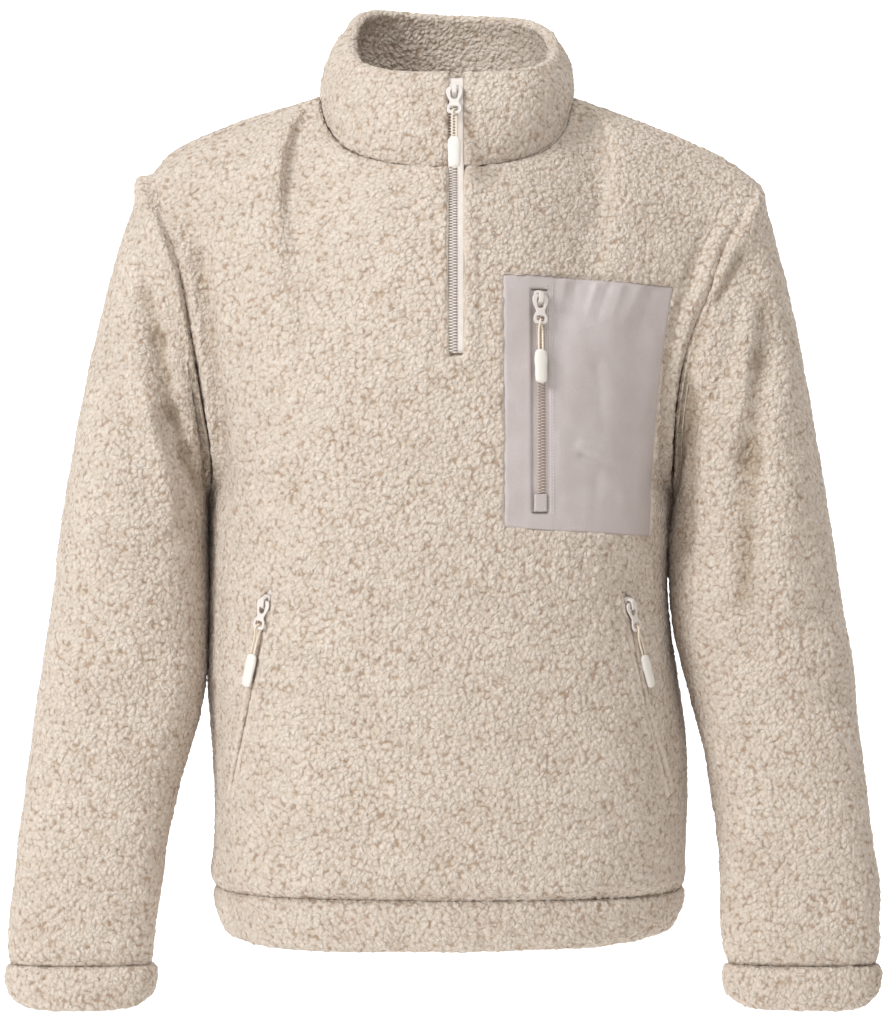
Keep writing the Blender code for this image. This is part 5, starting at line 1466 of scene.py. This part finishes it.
def end_piece(name, at, finish):
    """The moulded end, with the collar where the cords go in."""
    where, out, up, aside = at
    shares = np.concatenate([[0, 0.01, 0.03, 0.06], np.linspace(0.09, 0.94, 22), [0.965, 0.985, 1.0]])
    swell = smooth(END_PROFILE["share"], END_PROFILE["swell"], shares)
    swell = swell - 0.05 * np.exp(-(((shares - 0.16) / 0.018) ** 2))
    rings = []
    for share, size in zip(shares, swell):
        centre = where + up * (CORD_END_Z - SEAM_GAP - END_LENGTH * share)
        turns = np.linspace(0, 2 * math.pi, 28, endpoint=False)
        rings.append([
            centre + aside * END_HALF_WIDTH * size * math.cos(turn) + out * END_HALF_THICK * size * math.sin(turn)
            for turn in turns
        ])
    return rings_object(name, np.array(rings), finish)


def puller_pieces(prefix, seat, finishes):
    """A slider and its puller, in place of their solids."""
    slider = slider_piece(prefix + "_slider_body", seat, finishes["metal"])
    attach(slider, "garment")
    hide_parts(prefix + "_slider")
    hinged = pull_frame(seat, math.radians(PULLER_LEAN[prefix]))
    for label, make_piece, finish, slot in (
        ("tab", tab_piece, "metal", "painted_metal"),
        ("cord", cord_piece, "cord", "cord"),
        ("end", end_piece, "end", "moulded_end"),
    ):
        piece = make_piece(f"{prefix}_puller_{label}", hinged, finishes[finish])
        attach(piece, prefix + "_puller")
        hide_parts(f"{prefix}_pull_{label}")


# ---------------------------------------------------------------- materials


def finish_nodes(name, roughness, sheen=0.0, specular=0.5):
    """A material, its nodes, its shader and the place on the object that its patterns start from."""
    made = bpy.data.materials.new(name)
    made.use_nodes = True
    shader = made.node_tree.nodes["Principled BSDF"]
    shader.inputs["Roughness"].default_value = roughness
    shader.inputs["Specular IOR Level"].default_value = specular
    shader.inputs["Sheen Weight"].default_value = sheen
    shader.inputs["Sheen Roughness"].default_value = 0.45
    where = made.node_tree.nodes.new("ShaderNodeTexCoord")
    return made, made.node_tree, shader, where.outputs["Object"]


def add_node(tree, kind, inputs=None, **settings):
    """A shader node. Its inputs are numbers, colours or the outputs of other nodes."""
    node = tree.nodes.new("ShaderNode" + kind)
    for label, value in settings.items():
        setattr(node, label, value)
    for label, value in (inputs or {}).items():
        if isinstance(value, bpy.types.NodeSocket):
            tree.links.new(value, node.inputs[label])
        else:
            node.inputs[label].default_value = value
    return node


def attribute(tree, name):
    return add_node(tree, "Attribute", attribute_name=name).outputs["Fac"]


def noise(tree, vector, scale, detail=3.0, roughness=0.6):
    inputs = {"Vector": vector, "Scale": scale, "Detail": detail, "Roughness": roughness}
    return add_node(tree, "TexNoise", inputs).outputs["Fac"]


def warped(tree, vector, scale, reach):
    """A vector moved about by up to half a reach, so that regular patterns lose their order."""
    moved = add_node(tree, "TexNoise", {"Vector": vector, "Scale": scale, "Detail": 1.0}).outputs["Color"]
    inputs = {0: moved, 1: (reach, reach, reach), 2: vector}
    return add_node(tree, "VectorMath", inputs, operation="MULTIPLY_ADD").outputs["Vector"]


def cells(tree, vector, scale):
    return add_node(tree, "TexVoronoi", {"Vector": vector, "Scale": scale}).outputs["Distance"]


def ramp(tree, value, *stops):
    node = add_node(tree, "ValToRGB", {"Fac": value})
    band = node.color_ramp
    while len(band.elements) < len(stops):
        band.elements.new(0.5)
    for element, (place, color) in zip(band.elements, stops):
        element.position = place
        element.color = (*color, 1.0)
    return node.outputs["Color"]


def greys(tree, value, dark, light, low=0.3, high=0.7):
    """Tones that multiply a colour, from dark to light."""
    return ramp(tree, value, (low, dark), (high, light))


def combine(tree, a, b, share=1.0, blend="MULTIPLY"):
    inputs = {"Factor": share, "A": a, "B": b}
    settings = {"data_type": "RGBA", "blend_type": blend, "clamp_result": False}
    return add_node(tree, "Mix", inputs, **settings).outputs["Result"]


def bump(tree, height, distance, strength=1.0, after=None):
    inputs = {"Distance": distance, "Strength": strength, "Height": height}
    if after is not None:
        inputs["Normal"] = after
    return add_node(tree, "Bump", inputs).outputs["Normal"]


def fleece_finish():
    """Curly pile. Creased cells give its curls and crevices, which are darkened with painted shade, and fine noise
    gives its fibres. The troughs of the folds get painted shade too.
    """
    made, tree, shader, where = finish_nodes("sherpa pile", 0.95, sheen=0.18, specular=0.15)
    shader.inputs["Sheen Tint"].default_value = PILE_SHEEN
    bent = warped(tree, warped(tree, where, 190.0, 0.0040), 620.0, 0.0010)
    nubs = noise(tree, bent, 250.0, 1.5, 0.45)
    curls = ramp(tree, cells(tree, bent, 290.0), (0.1, (1, 1, 1)), (0.85, (0, 0, 0)))
    fibre = noise(tree, bent, 900.0, 3.0, 0.7)
    patchy = noise(tree, where, 30.0, 3.0)
    lumps = combine(tree, curls, nubs, 0.4, "MIX")
    lumps = combine(tree, lumps, PRESSED_LUMPS, attribute(tree, "press"), "MIX")
    # Painted shade: the pile darkens towards its crevices, both the mesh's and the shader's.
    color = combine(tree, ramp(tree, attribute(tree, "curl"), *FLEECE_TONES), ramp(tree, lumps, *CREVICE_SHADE_TONES))
    color = combine(tree, color, greys(tree, patchy, (0.95, 0.94, 0.93), (1.03, 1.03, 1.03)))
    color = combine(tree, color, greys(tree, fibre, (0.92, 0.91, 0.90), (1.04, 1.04, 1.04)))
    # Painted shade at the bottom of the folds' troughs.
    color = combine(tree, color, FOLD_SHADE_TONE, attribute(tree, "fold_shade"))
    tree.links.new(color, shader.inputs["Base Color"])
    normal = bump(tree, lumps, CURL_BUMP)
    tree.links.new(bump(tree, fibre, FIBRE_BUMP, 0.7, normal), shader.inputs["Normal"])
    return made


def woven_finish(name, dark, light, roughness, sheen, thread, specular=0.5):
    """Woven cloth: threads both ways, with a slow change of tone."""
    made, tree, shader, where = finish_nodes(name, roughness, sheen=sheen, specular=specular)
    tone = greys(tree, noise(tree, where, 40.0, 3.0), dark, light)
    slub = noise(tree, where, 700.0, 2.0)
    color = combine(tree, tone, greys(tree, slub, (0.94, 0.94, 0.94), (1.03, 1.03, 1.03)))
    tree.links.new(color, shader.inputs["Base Color"])
    normal = None
    for direction in ("X", "Z"):
        inputs = {"Vector": where, "Scale": thread, "Distortion": 0.4}
        wave = add_node(tree, "TexWave", inputs, bands_direction=direction).outputs["Fac"]
        normal = bump(tree, wave, THREAD_BUMP, 0.5, normal)
    tree.links.new(bump(tree, slub, SLUB_BUMP, 0.4, normal), shader.inputs["Normal"])
    return made


def moulded_finish(name, color, roughness, grain, specular=0.5):
    """Paint or moulded plastic: nearly even, with a fine grain."""
    made, tree, shader, where = finish_nodes(name, roughness, specular=specular)
    speck = noise(tree, where, grain, 3.0)
    darker = tuple(0.92 * c for c in color)
    tree.links.new(greys(tree, speck, darker, color, 0.35, 0.65), shader.inputs["Base Color"])
    tree.links.new(bump(tree, speck, GRAIN_BUMP, 0.5), shader.inputs["Normal"])
    return made


def floor_finish():
    made, tree, shader, where = finish_nodes("pale floor", 0.9, specular=0.1)
    soft = noise(tree, where, 3.0, 2.0)
    tone = greys(tree, soft, (0.87, 0.87, 0.87), (0.89, 0.89, 0.89))
    tree.links.new(tone, shader.inputs["Base Color"])
    shader.inputs["Emission Color"].default_value = (1.0, 1.0, 1.0, 1.0)
    shader.inputs["Emission Strength"].default_value = FLOOR_GLOW
    return made


# ---------------------------------------------------------------- stage, light and camera


def build_stage():
    """A pale floor that curves up into a wall behind."""
    turns = np.radians(np.arange(10, 91, 10))
    profile = [(-FLOOR_REACH, 0), (FLOOR_BEND, 0)]
    profile += [(FLOOR_BEND * (1 + math.sin(a)), FLOOR_BEND * (1 - math.cos(a))) for a in turns]
    profile.append((2 * FLOOR_BEND, WALL_TOP))
    verts = [(x, y, FLOOR_Z + z) for x in (-FLOOR_REACH, FLOOR_REACH) for y, z in profile]
    count = len(profile)
    faces = [(k, k + 1, count + k + 1, count + k) for k in range(count - 1)]
    floor = mesh_object("floor", verts, faces, floor_finish())


def build_light():
    world = bpy.data.worlds.new("soft surroundings")
    world.use_nodes = True
    bpy.context.scene.world = world
    back = world.node_tree.nodes["Background"]
    back.inputs["Color"].default_value = WORLD_COLOR
    back.inputs["Strength"].default_value = WORLD_STRENGTH
    for name, place, size, power in LIGHTS:
        light = bpy.data.lights.new(name, "AREA")
        light.shape = "DISK"
        light.size = size
        light.energy = power
        light.color = LIGHT_COLOR
        made = bpy.data.objects.new(name, light)
        made.location = place
        made.rotation_euler = (Vector(LIGHT_AIM) - made.location).to_track_quat("-Z", "Y").to_euler()
        bpy.context.scene.collection.objects.link(made)


def build_camera():
    bpy.context.scene.view_settings.view_transform = "Standard"
    data = bpy.data.cameras.new("camera")
    data.sensor_fit = "VERTICAL"
    data.sensor_height = SENSOR_HEIGHT
    data.lens = SENSOR_HEIGHT * CAMERA_FAR / VIEW_HEIGHT
    made = bpy.data.objects.new("camera", data)
    made.location = CAMERA_PLACE
    made.rotation_euler = (math.radians(90), 0, 0)
    bpy.context.scene.collection.objects.link(made)
    bpy.context.scene.camera = made


# ---------------------------------------------------------------- the garment


def fit_out(piece, node):
    """Attaches a piece to the garment's body, and hides the solid that it stands for."""
    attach(piece, "garment")
    if node:
        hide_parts(node)


def build_fleece(finishes):
    """All the fleece: the body's two panels, the sleeves with their cuffs, the hem band and the collar."""
    fleece, knit = finishes["fleece"], finishes["knit"]
    front, grid, normals = panel_piece("sherpa_front", "front", fleece, knit)
    back, back_grid, back_normals = panel_piece("sherpa_back", "back", fleece, knit)
    fit_out(front, "front_panel")
    fit_out(back, "back_panel")
    for which in ("left", "right"):
        made, rows, out = sleeve_piece("sherpa_sleeve_" + which, which, fleece, knit)
        fit_out(made, "sleeve_" + which)
        seam = rows[:, -1] - np.array([0, 0, SEAM_GAP])
        level = unit(out[:, -1] * (1, 1, 0))
        cuff = band_piece("sherpa_cuff_" + which, seam, level, CUFF_END_Z, CUFF_TAPER, CUFF_ROUND, 0.0, fleece)
        fit_out(cuff, "cuff_" + which)
    hem = np.concatenate([grid[:, 0], back_grid[-2:0:-1, 0]])
    out = np.concatenate([normals[:, 0], back_normals[-2:0:-1, 0]])
    out = shared(out, unit(out * (1, 1, 0)) * 2)
    lowered = hem - np.array([0, 0, SEAM_GAP])
    band = band_piece("sherpa_hem", lowered, out, HEM_Z, HEM_TAPER, HEM_ROUND, HEM_TILT, fleece)
    fit_out(band, "hem_band")
    fit_out(collar_piece(fleece), "collar")


def even_frames(surface, xs, zs, spacing):
    """Frames along a path seen from the front, evenly spaced and smoothed over the pile's steps."""
    z = np.arange(zs[0], zs[-1], -spacing)
    x = smooth(zs, xs, z) if len(zs) > 2 else np.interp(-z, [-zs[0], -zs[-1]], [xs[0], xs[-1]])
    where, out, up, aside = frames_along(surface, x, z)
    for _ in range(8):
        for rows in (where, out):
            rows[1:-1] = (rows[:-2] + rows[1:-1] * 2 + rows[2:]) / 4
    up = unit(-np.gradient(where, axis=0))
    aside = unit(np.cross(up, out))
    return where, unit(np.cross(aside, up)), up, aside


def build_front_zip(surface, finishes):
    frames = even_frames(surface, [ZIP_X, ZIP_X], [ZIP_TOP_Z, ZIP_FOOT_Z], 3.0)
    strip = tape(
        "front_zip_tape", frames, FRONT_TAPE_LEFT, FRONT_TAPE_RIGHT, -TAPE_DEPTH - TAPE_THICK, -TAPE_DEPTH,
        finishes["tape"],
    )
    fit_out(strip, "front_zip")
    below = tuple(part[5:] for part in frames)
    bed = teeth_shade_strip("front_zip_bed", below, FRONT_TEETH, -TAPE_DEPTH, finishes["coil_and_shade"])
    fit_out(bed, None)
    row = teeth("front_zip_teeth", below, FRONT_TEETH, -TAPE_DEPTH + 0.8, finishes["teeth"])
    fit_out(row, None)
    seat = slider_seat(surface, [ZIP_X] * 3, FRONT_SLIDER_Z, -TAPE_DEPTH + SEAM_GAP)
    puller_pieces("front", seat, finishes)


def build_chest_pocket(surface, finishes):
    patch = patch_piece(surface, finishes["satin"])
    fit_out(patch, "chest_pocket")
    frames = even_frames(surface, [CHEST_ZIP_X] * 2, [CHEST_ZIP_TOP_Z, CHEST_ZIP_FOOT_Z + 0.3], 3.0)
    reach = CHEST_SLOT / 2 - SEAM_GAP
    strip = tape(
        "chest_zip_tape", frames, -reach, reach, PATCH_HIGH - WOVEN, PATCH_HIGH - 0.9, finishes["satin"], 12,
    )
    fit_out(strip, "chest_zip")
    lower = tuple(part[4:] for part in frames)
    bed = teeth_shade_strip("chest_zip_bed", lower, CHEST_TEETH, PATCH_HIGH - 0.95, finishes["coil_and_shade"])
    fit_out(bed, None)
    row = teeth("chest_zip_teeth", lower, CHEST_TEETH, PATCH_HIGH - 0.25, finishes["brown_teeth"])
    fit_out(row, None)
    for label, aside_by in (("inner", 5.9), ("outer", 9.9)):
        ends = [CHEST_ZIP_TOP_Z + 5, CHEST_ZIP_FOOT_Z - 2]
        where, out = even_frames(surface, [CHEST_ZIP_X + aside_by] * 2, ends, 2.0)[:2]
        row = stitches(f"chest_stitches_{label}", where + out * (PATCH_HIGH + 0.2), out, finishes["thread"])
        fit_out(row, None)
    stop_z = [CHEST_ZIP_FOOT_Z + 1 + CHEST_STOP_LENGTH, CHEST_ZIP_FOOT_Z + 1]
    stop = even_frames(surface, [CHEST_ZIP_X] * 2, stop_z, 1.0)
    half = CHEST_STOP_WIDTH / 2
    tab = tape("chest_zip_stop_tab", stop, -half, half, PATCH_HIGH + 0.2, PATCH_HIGH + 1.3, finishes["satin"], 8)
    fit_out(tab, "chest_zip_stop")
    seat = slider_seat(surface, [CHEST_SLIDER_X] * 3, CHEST_SLIDER_Z, PATCH_HIGH - 0.1 + SEAM_GAP)
    puller_pieces("chest", seat, finishes)


def build_hand_pocket(prefix, line, surface, finishes):
    z0, z1 = line["z"][0] - SEAM_GAP, line["z"][-1] + SEAM_GAP
    z = np.linspace(z0, z1, 24)
    frames = even_frames(surface, smooth(line["z"], line["x"], z), z, 3.0)
    reach = POCKET_SLIT / 2 - SEAM_GAP
    strip = tape(
        prefix + "_zip_tape", frames, -reach, reach, -TAPE_DEPTH - TAPE_THICK, -TAPE_DEPTH, finishes["tape"], 8,
    )
    fit_out(strip, prefix + "_zip")
    below = tuple(part[5:] for part in frames)
    row = teeth(prefix + "_zip_teeth", below, 0.0, -TAPE_DEPTH + 0.4, finishes["coil_and_shade"])
    fit_out(row, None)
    edge = even_frames(surface, smooth(line["z"], line["x"], z), z, 1.3)
    for label, side in (("inner", 1), ("outer", -1)):
        lip = lip_piece(f"{prefix}_lip_{label}", edge, side, finishes["fleece"])
        fit_out(lip, None)
    at = line["z"][0] - SLIDER_FROM_TOP
    seat = slider_seat(surface, smooth(line["z"], line["x"], at + SLIDER_SPAN), at, -TAPE_DEPTH + SEAM_GAP)
    puller_pieces(prefix, seat, finishes)


def main():
    finishes = {
        "fleece": fleece_finish(),
        "knit": woven_finish("knit back", (0.60, 0.50, 0.41), (0.66, 0.56, 0.47), 0.9, 0.1, 260.0),
        "satin": woven_finish("woven satin", (0.43, 0.358, 0.334), (0.475, 0.402, 0.378), 0.38, 0.25, 500.0, 1.0),
        "tape": woven_finish("zip tape", (0.64, 0.56, 0.50), (0.71, 0.63, 0.57), 0.75, 0.15, 420.0),
        "teeth": moulded_finish("zip teeth", (0.78, 0.72, 0.67), 0.45, 900.0),
        "brown_teeth": moulded_finish("brown teeth", (0.55, 0.44, 0.38), 0.45, 900.0),
        # Dark brown, painted shade: the strips under the teeth, and the hand pockets' teeth, darkened so that
        # their slits look shaded.
        "coil_and_shade": moulded_finish("zip coil", (0.40, 0.32, 0.27), 0.6, 900.0),
        "thread": moulded_finish("thread", (0.62, 0.54, 0.50), 0.7, 900.0),
        "metal": moulded_finish("painted metal", (0.65, 0.58, 0.53), 0.38, 1200.0),
        "cord": moulded_finish("cord", (0.72, 0.60, 0.47), 0.85, 1800.0, 0.3),
        "end": moulded_finish("moulded end", (0.70, 0.645, 0.575), 0.5, 1500.0),
    }
    build_fleece(finishes)
    surface = front_surface()
    build_front_zip(surface, finishes)
    build_chest_pocket(surface, finishes)
    build_hand_pocket("pocket_left", POCKET_LEFT, surface, finishes)
    build_hand_pocket("pocket_right", POCKET_RIGHT, surface, finishes)
    build_stage()
    build_light()
    build_camera()


main()
